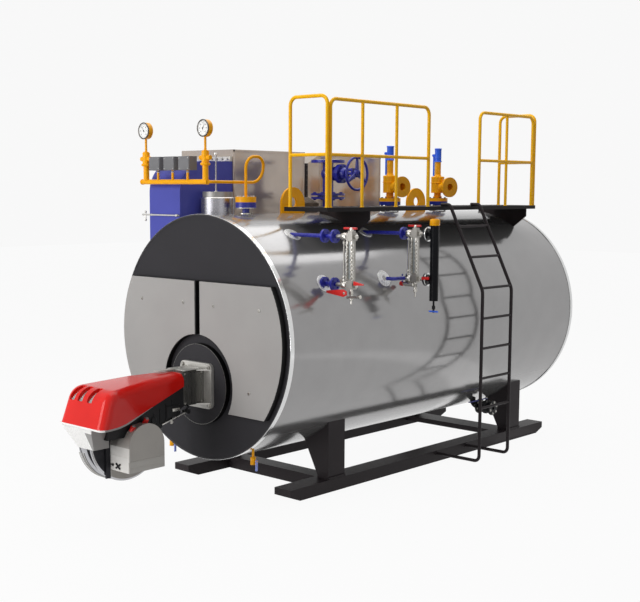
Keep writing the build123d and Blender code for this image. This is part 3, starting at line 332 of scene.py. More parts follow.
def turn(mesh, rings, place, axis=Z, sides=32, phase=0.0):
    """Turned form: rings of (radius, distance along the axis)."""
    matrix = aim(place, axis)
    loops = []
    for radius, height in rings:
        if radius <= 0:
            loops.append([mesh.verts.new(matrix @ Vector((0, 0, height)))])
            continue
        loops.append([mesh.verts.new(matrix @ point) for point in circle(radius, sides, phase, height)])
    for low, high in zip(loops, loops[1:]):
        for k in range(sides):
            after = (k + 1) % sides
            if len(low) == 1 and len(high) == 1:
                continue
            if len(low) == 1:
                mesh.faces.new((low[0], high[k], high[after]))
            elif len(high) == 1:
                mesh.faces.new((low[k], low[after], high[0]))
            else:
                mesh.faces.new((low[k], low[after], high[after], high[k]))


def disc(mesh, place, axis, radius, height, edge=0.003, sides=32):
    """Disc with broken edges, from its place along the axis."""
    rings = [(0, 0), (radius - edge, 0), (radius, edge), (radius, height - edge), (radius - edge, height), (0, height)]
    turn(mesh, rings, place, axis, sides)


def ring(mesh, place, axis, inner, outer, height, edge=0.003, sides=48):
    """Flat ring with broken edges."""
    rings = [(inner, 0), (outer - edge, 0), (outer, edge), (outer, height - edge), (outer - edge, height),
             (inner + edge, height), (inner, height - edge), (inner, 0)]
    turn(mesh, rings, place, axis, sides)


def bolt(mesh, place, axis, size):
    """Hexagon head on a washer."""
    wide = size * 1.25
    turn(mesh, [(0, 0), (wide, 0), (wide, size * 0.18), (0, size * 0.18)], place, axis, 16)
    head = [(size, size * 0.15), (size, size * 0.75), (size * 0.82, size * 0.88), (0, size * 0.88)]
    turn(mesh, [(0, size * 0.15)] + head, place, axis, 6)


def around(place, axis, radius, count, phase=0.0):
    """Places on a circle about the axis."""
    matrix = aim(place, axis)
    return [matrix @ point for point in circle(radius, count, phase)]


def single(name, material, form, *values, body=ROOT):
    """Piece of a single form."""
    mesh = fresh()
    form(mesh, *values)
    piece(name, mesh, material, body)


def bolts(name, groups, material=BOLT):
    """Piece with hexagon bolts. A group is (places, axis, size)."""
    mesh = fresh()
    for places, axis, size in groups:
        for place in places:
            bolt(mesh, place, axis, size)
    piece(name, mesh, material)


def bevel(mesh, edges, width):
    """Round the edges, each taken once and always in the same order."""
    bmesh.ops.bevel(mesh, geom=list(dict.fromkeys(edges)), offset=width, segments=2, affect="EDGES", profile=0.7)


def box(mesh, low, high, edge=0.004, matrix=None):
    """Box between two corners with bevelled edges."""
    low, high = Vector(low), Vector(high)
    size = high - low
    place = Matrix.Translation((low + high) / 2) @ Matrix.Diagonal((*size, 1))
    made = bmesh.ops.create_cube(mesh, size=1, matrix=(matrix or Matrix()) @ place)
    bevel(mesh, [e for v in made["verts"] for e in v.link_edges], edge)


def rounded(points, bend, steps=6):
    """Path through points with each corner rounded."""
    points = [Vector(p) for p in points]
    path = [points[0]]
    for before, corner, after in zip(points, points[1:], points[2:]):
        reach = min(bend, (before - corner).length * 0.49, (after - corner).length * 0.49)
        start = corner + (before - corner).normalized() * reach
        end = corner + (after - corner).normalized() * reach
        for k in range(steps + 1):
            t = k / steps
            path.append(start * (1 - t) ** 2 + corner * 2 * t * (1 - t) + end * t ** 2)
    path.append(points[-1])
    return path


def tube(mesh, path, radius, sides=14):
    """Round tube along a path, closed at its ends."""
    path = [Vector(p) for p in path]
    heading = (path[1] - path[0]).normalized()
    side = heading.orthogonal().normalized()
    loops = []
    for k, place in enumerate(path):
        ahead = path[min(k + 1, len(path) - 1)] - path[max(k - 1, 0)]
        heading = ahead.normalized()
        side = (side - heading * side.dot(heading)).normalized()
        up = heading.cross(side)
        angles = [math.tau * n / sides for n in range(sides)]
        loops.append([mesh.verts.new(place + side * radius * math.cos(a) + up * radius * math.sin(a)) for a in angles])
    skin(mesh, loops)


def prism(mesh, outline, along, thickness, edge=0.0):
    """Plate with a 3-D outline, thick along a vector."""
    step = Vector(along).normalized() * thickness
    near = [mesh.verts.new(Vector(p)) for p in outline]
    far = [mesh.verts.new(Vector(p) + step) for p in outline]
    faces = [mesh.faces.new(near), mesh.faces.new(far[::-1])]
    for k in range(len(near)):
        after = (k + 1) % len(near)
        faces.append(mesh.faces.new((near[k], near[after], far[after], far[k])))
    if edge:
        bevel(mesh, [e for f in faces for e in f.edges], edge)


# ---- shell and its ends

mesh = fresh()
for x, z in ((-0.766, 1.740), (-0.189, 1.743), (0.207, 1.735), (0.775, 1.734), (0.653, 1.015), (-0.653, 1.015)):
    turn(mesh, [(0.016, 0), (0.016, 0.003), (0.012, 0.008), (0, 0.009)], (x, FRONT - 0.055, z), -Y, 20)
    turn(mesh, [(0, 0.009), (0.006, 0.009), (0.006, 0.014), (0, 0.014)], (x, FRONT - 0.055, z), -Y, 6)
piece("panel_screws", mesh, BOLT)

# Thin bright metal ring on the burner plate's edge: a painted highlight standing in for the light on its chamfer.
single("burner_plate_edge_highlight", NECK, ring, (0, FRONT - 0.050, BURNER_Z), -Y, 0.3575, 0.3620, 0.0015, 0.0006, 72)

REAR_COVER_R = 0.860
bolts("rear_cover_bolts", [(around((0, REAR + 0.050, AXIS_Z), Y, REAR_COVER_R - 0.045, 28), Y, 0.016)])
single("rear_cover_seam", BRIGHT, ring, (0, REAR, AXIS_Z), Y, REAR_COVER_R, REAR_COVER_R + 0.022, 0.012, 0.003, 96)
mesh = fresh()
for side in (-1, 1):
    x = side * 0.62
    points = [(x, REAR + 0.045, AXIS_Z - 0.14), (x, REAR + 0.115, AXIS_Z - 0.14),
              (x, REAR + 0.115, AXIS_Z + 0.14), (x, REAR + 0.045, AXIS_Z + 0.14)]
    tube(mesh, rounded(points, 0.035), 0.012)
piece("rear_cover_handles", mesh, BOLT)
mesh = fresh()
ring(mesh, (0, REAR + 0.049, AXIS_Z + 0.35), Y, 0.050, 0.105, 0.022, 0.004, 40)
disc(mesh, (0, REAR + 0.049, AXIS_Z + 0.35), Y, 0.050, 0.010, 0.002, 32)
piece("rear_sight_glass", mesh, BOLT)

# Heights of the level gauges' two pipes
HIGH_Z, LOW_Z = AXIS_Z + 0.919, AXIS_Z + 0.510


def on_shell(z):
    """X of the shell's near flank at a height."""
    return math.sqrt(SHELL_R ** 2 - (z - AXIS_Z) ** 2)


# Rosettes where the level gauge pipes enter the shell; their near-white silver is partly a painted reflection
mesh = fresh()
for y, z in ((-0.411, HIGH_Z), (-0.411, LOW_Z), (0.575, HIGH_Z), (0.406, LOW_Z)):
    x = on_shell(z)
    out = Vector((x, 0, z - AXIS_Z)).normalized()
    ring(mesh, Vector((x, y, z)) - out * 0.004, out, 0.024, 0.080, 0.010, 0.003, 36)
piece("pipe_rosettes", mesh, COLLAR)


# ---- burner

NOSE = FRONT - 1.330
HOOD_SLOTS = ((-0.150, -0.188), (-0.060, -0.080), (0.068, 0.044))

# Hood with three slots cut through its top, and the louvres in them
hood = add("hood_shell", NODES["burner_hood"].data.copy())
mesh = fresh()
for top_x, low_x in HOOD_SLOTS:
    outline = []
    for x, y in ((low_x - 0.032, -2.222), (low_x + 0.032, -2.222), (top_x + 0.029, -2.108), (top_x - 0.029, -2.108)):
        outline.append((x, y, 0.985))
    prism(mesh, outline, Z, 0.3, 0.007)
cutter = add("slot_cutter", mesh_data("slot_cutter", mesh))
cut = hood.modifiers.new("slots", "BOOLEAN")
cut.operation = "DIFFERENCE"
cut.solver = "EXACT"
cut.object = cutter
depsgraph = bpy.context.evaluated_depsgraph_get()
cut_data = bpy.data.meshes.new_from_object(hood.evaluated_get(depsgraph))
hood.modifiers.clear()
bpy.data.objects.remove(cutter)
if "custom_normal" in cut_data.attributes:
    cut_data.attributes.remove(cut_data.attributes["custom_normal"])
mesh = fresh()
mesh.from_mesh(cut_data)
bmesh.ops.remove_doubles(mesh, verts=mesh.verts, dist=0.00005)
mesh.to_mesh(cut_data)
mesh.free()
cut_data.shade_smooth()
cut_data.set_sharp_from_angle(angle=math.radians(32))
cut_data.materials.clear()
cut_data.materials.append(RED)
hood.data = cut_data
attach(hood, ROOT)
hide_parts("burner_hood")

mesh = fresh()
for top_x, low_x in HOOD_SLOTS:
    for k in range(10):
        t = (k + 0.5) / 10
        x = low_x + (top_x - low_x) * t
        y = -2.218 + 0.112 * t
        z = 0.996 + 0.090 * math.sin(t * math.pi / 2)
        box(mesh, (x - 0.030, y - 0.004, z - 0.03), (x + 0.030, y + 0.004, z + 0.012), 0.0012)
piece("hood_louvres", mesh, LINER)

# Size of the hood, for the white rim under it
RIM_Z = BURNER_Z - 0.188
HOOD_LENGTH = 1.000
HOOD_FRONT_HALF, HOOD_REAR_HALF = 0.307, 0.132
CORNER_R = 0.070
BELLY_R = 0.700


def hood_half(y):
    """Half width of the hood at a place along the burner, with its front corners rounded."""
    half = HOOD_FRONT_HALF + (HOOD_REAR_HALF - HOOD_FRONT_HALF) * (y - NOSE) / HOOD_LENGTH
    round_share = min(1.0, (y - NOSE) / CORNER_R)
    return half - CORNER_R * (1 - math.sqrt(1 - (1 - round_share) ** 2))


def hood_bottom(y):
    """Height of the hood's lower edge at a place along the burner."""
    belly, neck = NOSE + 0.225, FRONT - 0.330
    slope = (0.029 + 0.188) / (neck - belly)
    angle = math.atan(slope)
    turn_length = BELLY_R * math.tan(angle / 2)
    if y <= belly - turn_length:
        return RIM_Z
    if y <= belly + turn_length * math.cos(angle):
        reach = y - (belly - turn_length)
        return RIM_Z + BELLY_R - math.sqrt(BELLY_R ** 2 - reach ** 2)
    return RIM_Z + (y - belly) * slope


steps = [NOSE + 0.075 * (k / 12) ** 2 for k in range(12)]
steps += [NOSE + 0.075 + 0.525 * (k / 20) for k in range(21)]
rim = [(-hood_half(y), y, hood_bottom(y)) for y in reversed(steps)]
rim += [(hood_half(y), y, hood_bottom(y)) for y in steps]
mesh = fresh()
loops = []
for x, y, z in rim:
    fade = min(1.0, max(0.15, (NOSE + 0.62 - y) / 0.30))
    section = ((x, y, z + 0.001), (x * 1.001, y, z - 0.014 * fade), (x * 0.90, y + 0.010, z - 0.016 * fade),
               (x * 0.90, y + 0.010, z + 0.001))
    loops.append([mesh.verts.new(point) for point in section])
skin(mesh, loops)
piece("hood_rim", mesh, WHITE)

# Neck, its strip and the flange bolts
mesh = fresh()
box(mesh, (-0.075, -1.455, BURNER_Z + 0.158), (-0.015, -1.150, BURNER_Z + 0.164), 0.0015)
box(mesh, (-0.112, -1.262, BURNER_Z + 0.156), (0.112, -1.052, BURNER_Z + 0.162), 0.002)
piece("neck_strip", mesh, FLANGE)
bolts("neck_screws", [([(0.092, -1.075, BURNER_Z + 0.162), (-0.092, -1.075, BURNER_Z + 0.162),
                       (-0.045, -1.180, BURNER_Z + 0.164)], Z, 0.010)])
FLANGE_Y = FRONT - 0.080
bolts("flange_bolts", [([(x, FLANGE_Y, BURNER_Z + z) for x in (-0.172, 0.172) for z in (-0.168, 0.168)], -Y, 0.018)])
mesh = fresh()
for side in (-1, 1):
    for z in (-0.150, 0.150):
        ends = [(side * 0.104, FLANGE_Y, BURNER_Z + z), (side * 0.190, FLANGE_Y, BURNER_Z + z),
                (side * 0.104, FLANGE_Y - 0.085, BURNER_Z + z)]
        prism(mesh, [(x, y, h - 0.006) for x, y, h in ends], Z, 0.012, 0.002)
piece("flange_ribs", mesh, FLANGE)
bolts("neck_side_screws", [([(0.108, y, BURNER_Z + z) for y in (-1.255, -1.065) for z in (-0.13, 0.13)], X, 0.008)])
single("linkage_rod", ROD, tube, [(0.130, -1.535, 0.752), (0.130, -1.245, 0.826)], 0.006, 10)
mesh = fresh()
disc(mesh, (0.104, -1.250, 0.826), X, 0.022, 0.045, 0.004, 18)
box(mesh, (0.100, -1.285, 0.812), (0.132, -1.215, 0.842), 0.004)
tube(mesh, [(0.104, -1.250, 0.826), (0.104, -1.215, 0.868)], 0.011, 10)
piece("linkage_clamp", mesh, CASTING)
mesh = fresh()
box(mesh, (0.120, -1.425, 0.850), (0.142, -1.340, 0.876), 0.005)
disc(mesh, (0.120, -1.430, 0.760), X, 0.016, 0.018, 0.003, 14)
piece("linkage_bracket", mesh, STEEL)

# Casting details below the hood
mesh = fresh()
for k in range(6):
    y = -1.760 + 0.068 * k
    box(mesh, (-0.127, y, 0.762), (0.127, y + 0.012, 0.800 + 0.030 * k), 0.003)
box(mesh, (0.118, -1.480, 0.800), (0.132, -1.330, 0.900), 0.004)
disc(mesh, (0.118, -1.620, 0.800), X, 0.030, 0.014, 0.004, 24)
piece("body_ribs", mesh, CASTING)

# Fan beads and screen
FAN_Y, FAN_Z = NOSE + 0.529, BURNER_Z - 0.358
BEAD_R, SCREEN_R = 0.3865, 0.3475


def fan_arc(x, radius, count=40):
    """Points along the fan's open side."""
    angles = [math.radians(196 + 108 * k / count) for k in range(count + 1)]
    return [(x, FAN_Y + radius * math.cos(a), FAN_Z + radius * math.sin(a)) for a in angles]


mesh = fresh()
for x in (-0.232, -0.200, -0.172):
    tube(mesh, fan_arc(x, BEAD_R), 0.0035, 8)
piece("fan_beads", mesh, FLANGE)
mesh = fresh()
for ends in zip(fan_arc(-0.148, SCREEN_R, 25), fan_arc(-0.078, SCREEN_R, 25)):
    tube(mesh, ends, 0.0022, 6)
for k in range(8):
    tube(mesh, fan_arc(-0.143 + 0.009 * k, SCREEN_R), 0.0018, 6)
piece("fan_screen", mesh, MESH)

# Motor marks, creases and its two caps
MOTOR_Y = NOSE + 0.338
CAP_AXIS = Vector((0.5, 0.1, 0.86))
mesh = fresh()
for tilt in (40, -35):
    arm = Matrix.Translation((0.061, MOTOR_Y - 0.004, 0.453)) @ Matrix.Rotation(math.radians(tilt), 4, "Y")
    box(mesh, (-0.034, -0.006, -0.007), (0.034, 0.004, 0.007), 0.002, arm)
box(mesh, (0.052, MOTOR_Y - 0.012, 0.442), (0.072, MOTOR_Y, 0.464), 0.003)
disc(mesh, (-0.012, MOTOR_Y, 0.456), -Y, 0.012, 0.008, 0.002, 16)
box(mesh, (-0.040, MOTOR_Y - 0.006, 0.452), (-0.024, MOTOR_Y, 0.460), 0.001)
piece("motor_marks", mesh, CASTING)
mesh = fresh()
box(mesh, (-0.055, MOTOR_Y - 0.003, 0.536), (0.202, MOTOR_Y + 0.002, 0.541), 0.001)
for z in (0.500, 0.444):
    box(mesh, (0.200, MOTOR_Y + 0.004, z), (0.2075, MOTOR_Y + 0.372, z + 0.006), 0.001)
piece("motor_creases", mesh, MOTOR)
reds, whites = fresh(), fresh()
for y, z in ((-1.880, 0.752), (-1.740, 0.797)):
    foot = Vector((0.150, y, z))
    disc(reds, foot, CAP_AXIS, 0.022, 0.050, 0.004, 20)
    disc(whites, foot + CAP_AXIS.normalized() * 0.049, CAP_AXIS, 0.014, 0.010, 0.002, 20)
piece("motor_caps_red", reds, RED_HANDLE)
piece("motor_caps_white", whites, WHITE)


# ---- flue boxes and elbow

STRIP_WIDTH, STRIP_PROUD = 0.022, 0.003


def sheet_edges(mesh, low, high):
    """Thin folded strips along the upright edges and the top of a box."""
    for x, out in ((low.x, -STRIP_PROUD), (high.x, STRIP_PROUD)):
        x0, x1 = sorted((x, x + out))
        for y0, y1 in ((low.y, low.y + STRIP_WIDTH), (high.y - STRIP_WIDTH, high.y)):
            box(mesh, (x0, y0, low.z), (x1, y1, high.z), 0.001)
        box(mesh, (x0, low.y, high.z - STRIP_WIDTH), (x1, high.y, high.z), 0.001)


mesh = fresh()
for node in ("economiser", "condenser"):
    low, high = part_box(node)
    if node == "condenser":
        low, high = Vector((-1.232, low.y, low.z)), Vector((-0.490, 3.074 + FRONT, high.z))
    sheet_edges(mesh, low, high)
piece("box_edges", mesh, BOX_STEEL)

# Doors on the far side of both boxes
DOOR_X = -1.236
mesh, heads = fresh(), fresh()
for start, end, rise in ((0.850, 1.853, 0.600), (2.071, 3.074, 0.584)):
    y0, y1, top = start + FRONT + 0.12, end + FRONT - 0.12, CROWN + rise
    box(mesh, (DOOR_X, y0, top - 0.52), (DOOR_X + 0.010, y1, top - 0.10), 0.002)
    for k in range(5):
        y = y0 + 0.03 + (y1 - y0 - 0.06) * k / 4
        for z in (top - 0.50, top - 0.12):
            bolt(heads, (DOOR_X, y, z), -X, 0.009)
piece("box_doors", mesh, DOOR)
piece("box_door_bolts", heads, BOLT)

JOINT_Y = 1.853 + FRONT
mesh = fresh()
for k in range(7):
    z = CROWN + 0.165 + 0.306 * k / 6
    for x, axis in ((-0.480, X), (-1.222, -X)):
        disc(mesh, (x, JOINT_Y + 0.0185, z), axis, 0.006, 0.006, 0.001, 10)
piece("joint_rivets", mesh, DARK_BOLT)
bolts("outlet_bolts", [(around((-0.860, 2.177, 2.780), Y, 0.231, 16), Y, 0.009)])

# Face of the blue elbow's flange
ELBOW_FACE_Y = 0.850 + FRONT - 0.034
outline = ((-0.982, 2.442), (-0.934, 2.442), (-0.934, 3.010), (-0.498, 3.010), (-0.498, 3.055), (-0.982, 3.055))
single("elbow_flange_face", FLANGE, prism, [(x, ELBOW_FACE_Y, z) for x, z in outline], Y, 0.036, 0.002)
places = [(-0.900 + 0.074 * k, ELBOW_FACE_Y, 3.033) for k in range(6)]
places += [(-0.958, ELBOW_FACE_Y, 2.480 + 0.088 * k) for k in range(7)]
bolts("elbow_flange_bolts", [(places, -Y, 0.010)])
mesh = fresh()
disc(mesh, (-1.012, -0.782, 2.503), X, 0.010, 0.010, 0.002, 12)
turn(mesh, [(0, 0), (0.012, 0.002), (0.014, 0.010), (0.012, 0.018), (0, 0.020)], (-0.530, -0.792, 2.503), X, 16)
for z in (2.453, 2.530):
    turn(mesh, [(0, -0.012), (0.009, -0.009), (0.012, 0), (0.009, 0.009), (0, 0.012)], (-0.980, -0.782, z), Z, 14)
piece("damper_knobs", mesh, ROD)


# ---- crown fittings

STUB_PLACE = Vector((-0.318, 0.491 + FRONT, CROWN))
mesh = fresh()
ring(mesh, STUB_PLACE + Z * 0.134, Z, 0.146, 0.1580, 0.014, 0.004, 56)
for z in (0.196, 0.545):
    turn(mesh, [(0, -0.012), (0.014, -0.010), (0.016, 0), (0.014, 0.010), (0, 0.012)],
         STUB_PLACE + X * -0.025 + Z * z, Z, 18)
piece("stub_trim", mesh, ROD)

SIPHON = Vector((0, 0.545 + FRONT, CROWN))
bolts("siphon_bolts", [(around(SIPHON + Z * 0.155, Z, 0.072, 6), Z, 0.010),
                       (around(SIPHON + Z * 0.055, Z, 0.072, 6), -Z, 0.010)])
mesh = fresh()
disc(mesh, SIPHON + Z * 0.050, Z, 0.0955, 0.006, 0.001, 40)
ring(mesh, SIPHON - Z * 0.001, Z, 0.033, 0.062, 0.010, 0.002, 40)
piece("siphon_collar", mesh, STEEL)

# Gauges: dial, bezel, ticks, needle and numerals
HEADER_Y = 0.125 + FRONT
GAUGE_Z = CROWN + 0.756
GAUGE_X = (-0.899, -0.078)
SCALE_START, SCALE_SWEEP = 225, 270


def pointing(degrees, width):
    """Direction on a dial, and a sideways step of half the width."""
    a = math.radians(degrees)
    return Vector((math.cos(a), 0, math.sin(a))), Vector((-math.sin(a), 0, math.cos(a))) * width


dials, inks, rims = fresh(), fresh(), fresh()
for gauge_x, reading in zip(GAUGE_X, (-35, 25)):
    front = HEADER_Y - 0.024
    turn(dials, [(0, 0), (0.067, 0), (0.067, 0.002), (0, 0.002)], (gauge_x, front, GAUGE_Z), -Y, 48)
    turn(rims, [(0.066, 0), (0.0770, 0), (0.0778, 0.004), (0.0735, 0.009), (0.0665, 0.006), (0.066, 0)],
         (gauge_x, front, GAUGE_Z), -Y, 56)
    for k in range(31):
        long, wide = (0.011, 0.0011) if k % 5 == 0 else (0.006, 0.0006)
        along, across = pointing(SCALE_START - SCALE_SWEEP * k / 30, wide)
        start = Vector((gauge_x, front - 0.0020, GAUGE_Z)) + along * 0.0635
        end = start - along * long
        prism(inks, [start - across, start + across, end + across, end - across], -Y, 0.0006)
    along, across = pointing(90 - reading, 0.0024)
    centre = Vector((gauge_x, front - 0.0035, GAUGE_Z))
    prism(inks, [centre - along * 0.016 - across, centre - along * 0.016 + across, centre + along * 0.050], -Y, 0.001)
    turn(inks, [(0, 0), (0.006, 0), (0.005, 0.004), (0, 0.004)], centre, -Y, 18)
piece("gauge_dials", dials, DIAL)
piece("gauge_bezels", rims, DARK_BOLT)
piece("gauge_marks", inks, INK)
for side, gauge_x in zip(("left", "right"), GAUGE_X):
    parts = []
    for k, label in enumerate(("0", "0.5", "1.0", "1.5", "2.0", "2.5", "3.0")):
        out = pointing(SCALE_START - SCALE_SWEEP * k / 6, 0)[0] * 0.043
        curve = bpy.data.curves.new("numeral", "FONT")
        curve.body = label
        curve.size = 0.013
        curve.align_x = "CENTER"
        curve.align_y = "CENTER"
        curve.extrude = 0.0004
        text = add("numeral", curve)
        place = Vector((gauge_x, HEADER_Y - 0.0264, GAUGE_Z)) + out
        text.matrix_world = Matrix.Translation(place) @ Matrix.Rotation(math.pi / 2, 4, "X")
        parts.append(text)
    bpy.context.view_layer.update()
    numerals = fresh()
    for text in parts:
        shape = bpy.data.meshes.new_from_object(text.evaluated_get(bpy.context.evaluated_depsgraph_get()))
        shape.transform(text.matrix_world)
        numerals.from_mesh(shape)
        bpy.data.objects.remove(text)
    piece(f"gauge_numerals_{side}", numerals, INK)

# Cocks and nuts below the gauges
mesh = fresh()
for gauge_x in GAUGE_X:
    for z, radius in ((CROWN + 0.442, 0.047), (CROWN + 0.468, 0.036), (CROWN + 0.553, 0.030)):
        turn(mesh, [(0, -0.012), (radius - 0.006, -0.012), (radius, -0.006), (radius, 0.006), (radius - 0.006, 0.012),
                    (0, 0.012)], (gauge_x, HEADER_Y, z), Z, 8, math.pi / 8)
    middle = CROWN + 0.4985
    for side in (-1, 1):
        turn(mesh, [(0, 0), (0.019, 0), (0.023, 0.005), (0.023, 0.020), (0.017, 0.026), (0, 0.026)],
             (gauge_x + side * 0.040, HEADER_Y, middle), X * side, 8)
    turn(mesh, [(0.012, 0), (0.012, 0.020), (0.009, 0.028), (0, 0.028)], (gauge_x, HEADER_Y, CROWN + 0.560), Z, 6)
for x in (-0.961, -0.060):
    turn(mesh, [(0, -0.004), (0.024, -0.004), (0.026, 0.000), (0.026, 0.012), (0, 0.012)],
         (x, HEADER_Y, CROWN + 0.286), X, 24)
piece("gauge_cock_nuts", mesh, YELLOW_FIT)

# Pressure switches
mesh, covers = fresh(), fresh()
for x in (-0.727, -0.522, -0.316):
    front = HEADER_Y - 0.046
    box(mesh, (x - 0.070, front - 0.004, CROWN + 0.396), (x + 0.070, front + 0.001, CROWN + 0.508), 0.0015)
    for dx in (-0.060, 0.060):
        for dz in (0.406, 0.498):
            turn(covers, [(0, 0), (0.004, 0), (0.004, 0.002), (0, 0.003)], (x + dx, front - 0.004, CROWN + dz), -Y, 10)
    turn(covers, [(0.014, 0), (0.014, 0.014), (0.010, 0.020), (0, 0.020)], (x, HEADER_Y, CROWN + 0.370), Z, 6)
piece("switch_covers", mesh, SWITCH)
piece("switch_screws", covers, BOLT)

# Steam valve
STEAM = Vector((0, 1.665 + FRONT, CROWN))
STEM = STEAM + Z * 0.377
bolts("steam_valve_bolts", [(around(STEAM + Z * 0.188, Z, 0.140, 8, math.pi / 8), Z, 0.014),
                            (around(STEAM + Z * 0.132, -Z, 0.140, 8, math.pi / 8), -Z, 0.014),
                            (around(STEM + X * 0.196, X, 0.078, 8, math.pi / 8), X, 0.009)], BLUE)
mesh = fresh()
for x in (0.088, 0.104, 0.120, 0.136):
    turn(mesh, [(0.058, -0.004), (0.068, -0.002), (0.068, 0.002), (0.058, 0.004)], STEM + X * x, X, 32)
turn(mesh, [(0.058, 0), (0.058, 0.030), (0.045, 0.050), (0.022, 0.056), (0, 0.056)], STEM + X * 0.190, X, 32)
turn(mesh, [(0.020, 0), (0.026, 0.004), (0.026, 0.022), (0.020, 0.026)], STEM + X * 0.240, X, 6)
for side in (-1, 1):
    tube(mesh, [STEM + Z * side * 0.042 + X * 0.19, STEM + Z * side * 0.034 + X * 0.325], 0.012, 12)
piece("steam_bonnet_ribs", mesh, BLUE)
single("steam_collar", BRIGHT, ring, STEAM - Z * 0.001, Z, 0.062, 0.108, 0.012, 0.003, 40)
# Near-white ring on top of the blue valve flange: a painted reflection of the bright surroundings.
single("steam_flange_painted_reflection", COLLAR, ring, STEAM + Z * 0.510, Z, 0.041, 0.118, 0.004, 0.001, 48)
mesh = fresh()
wheel = STEM + X * 0.373
for k in range(3):
    a = math.pi / 2 + math.tau * k / 3
    inner = wheel + Vector((0, math.cos(a), math.sin(a))) * 0.030
    outer = wheel + Vector((0, math.cos(a), math.sin(a))) * 0.150
    across = Vector((0, -math.sin(a), math.cos(a)))
    outline = [inner - across * 0.022, outer - across * 0.012, outer + across * 0.012, inner + across * 0.022]
    prism(mesh, [p - X * 0.007 for p in outline], X, 0.014, 0.003)
turn(mesh, [(0.016, -0.018), (0.036, -0.016), (0.036, 0.016), (0.026, 0.022), (0.016, 0.022)], wheel, X, 24)
piece("wheel_spokes", mesh, BLUE, "steam_handwheel")
single("wheel_nut", BLUE, turn, [(0.0142, 0.019), (0.022, 0.019), (0.022, 0.030), (0.0142, 0.032)], wheel, X, 6,
       body="steam_handwheel")

# Safety valves
OUTLET = Vector((math.cos(math.radians(-12)), math.sin(math.radians(-12)), 0))
for name, place in (("front", 2.636), ("rear", 3.470)):
    at = Vector((0, place + FRONT, CROWN))
    bolts(f"safety_{name}_bolts", [(around(at + Z * 0.139, Z, 0.088, 8, 0.2), Z, 0.011),
                                   (around(at + Z * 0.067, Z, 0.088, 8, 0.2), -Z, 0.011)], DARK_BOLT)
    mesh = fresh()
    for z, r, t in ((0.140, 0.048, 0.022), (0.166, 0.044, 0.012), (0.194, 0.076, 0.012), (0.296, 0.079, 0.014)):
        turn(mesh, [(r - 0.012, 0), (r, 0.005), (r, t - 0.005), (r - 0.012, t)], at + Z * z, Z, 36)
    turn(mesh, [(0.073, -0.010), (0.0735, 0.000), (0.070, 0.006), (0.042, 0.009), (0.037, 0.016), (0.0335, 0.030)],
         at + Z * 0.366, Z, 32)
    turn(mesh, [(0.049, 0), (0.062, 0.018), (0.060, 0.040)], at + Z * 0.256 + OUTLET * 0.120, OUTLET, 32)
    piece(f"safety_{name}_rings", mesh, YELLOW_FIT)
    mesh = fresh()
    for z, r, t in ((0.530, 0.042, 0.012), (0.575, 0.038, 0.010), (0.664, 0.040, 0.014)):
        disc(mesh, at + Z * z, Z, r, t, 0.003, 24)
    for side in (-1, 1):
        disc(mesh, at + Vector((-0.056, side * 0.016, 0.602)), Y * side, 0.010, 0.006, 0.002, 6)
    piece(f"safety_{name}_cap", mesh, BRIGHT_BLUE)
    single(f"safety_{name}_collar", BRIGHT, ring, at - Z * 0.001, Z, 0.052, 0.095, 0.012, 0.003, 40)


# ---- level gauges and water column

def level_details(name, x, y, blue_flanges):
    """Glass, clamps, valves and bolts of one level gauge. Returns the start of its red handles."""
    bars, glass, reds = fresh(), fresh(), fresh()
    box(glass, (x - 0.010, y - 0.027, LOW_Z + 0.055), (x + 0.010, y - 0.020, HIGH_Z - 0.045), 0.002)
    for side in (-1, 1):
        low = (x + side * 0.024 - 0.006, y - 0.036, LOW_Z + 0.045)
        high = (x + side * 0.024 + 0.006, y - 0.012, HIGH_Z - 0.035)
        box(bars, low, high, 0.003)
    for k in range(9):
        z = LOW_Z + 0.062 + 0.0345 * k
        for side in (-1, 1):
            bolt(bars, (x + side * 0.024, y - 0.036, z), -Y, 0.009)
            ear = x + side * 0.030
            box(bars, (ear - 0.010, y - 0.030, z - 0.007), (ear + 0.010, y - 0.016, z + 0.007), 0.002)
    for z, grow in ((HIGH_Z, 1), (LOW_Z, -1)):
        turn(bars, [(0.014, 0), (0.030, 0.004), (0.034, 0.020), (0.034, 0.050), (0.028, 0.060), (0.014, 0.064)],
             (x - 0.105, y, z), X, 20)
        turn(bars, [(0.022, 0), (0.022, 0.026), (0.014, 0.034), (0, 0.034)], (x + 0.030, y, z), X, 6)
        turn(bars, [(0.020, 0), (0.020, 0.022), (0.012, 0.028), (0, 0.028)], (x, y, z + grow * 0.050), Z * grow, 6)
        for drop in (0.030, 0.060):
            disc(bars, (x - 0.084, y, z - grow * drop), Z, 0.015, 0.018, 0.003, 14)
    box(reds, (x - 0.085, y - 0.010, HIGH_Z + 0.062), (x + 0.055, y + 0.010, HIGH_Z + 0.080), 0.004)
    disc(bars, (x, y, HIGH_Z + 0.050), Z, 0.010, 0.012, 0.002, 12)
    turn(bars, [(0.014, 0), (0.014, 0.060), (0.018, 0.066), (0.018, 0.090), (0.010, 0.096), (0, 0.096)],
         (x, y, LOW_Z - 0.030), -Z, 16)
    piece(f"{name}_clamps", bars, STEEL)
    piece(f"{name}_glass", glass, GLASS_GREY)
    bolts(f"{name}_bolts", [(around((flange, y, z), X, 0.042, 4, math.pi / 4), X, 0.008)
                            for flange in blue_flanges for z in (HIGH_Z, LOW_Z)], BLUE)
    return reds


def fin(mesh, place, corners, edge):
    """Thin upright handle, its corners given as (x, z) from its place."""
    prism(mesh, [Vector(place) + Vector((x, 0, z)) for x, z in corners], Y, 0.012, edge)


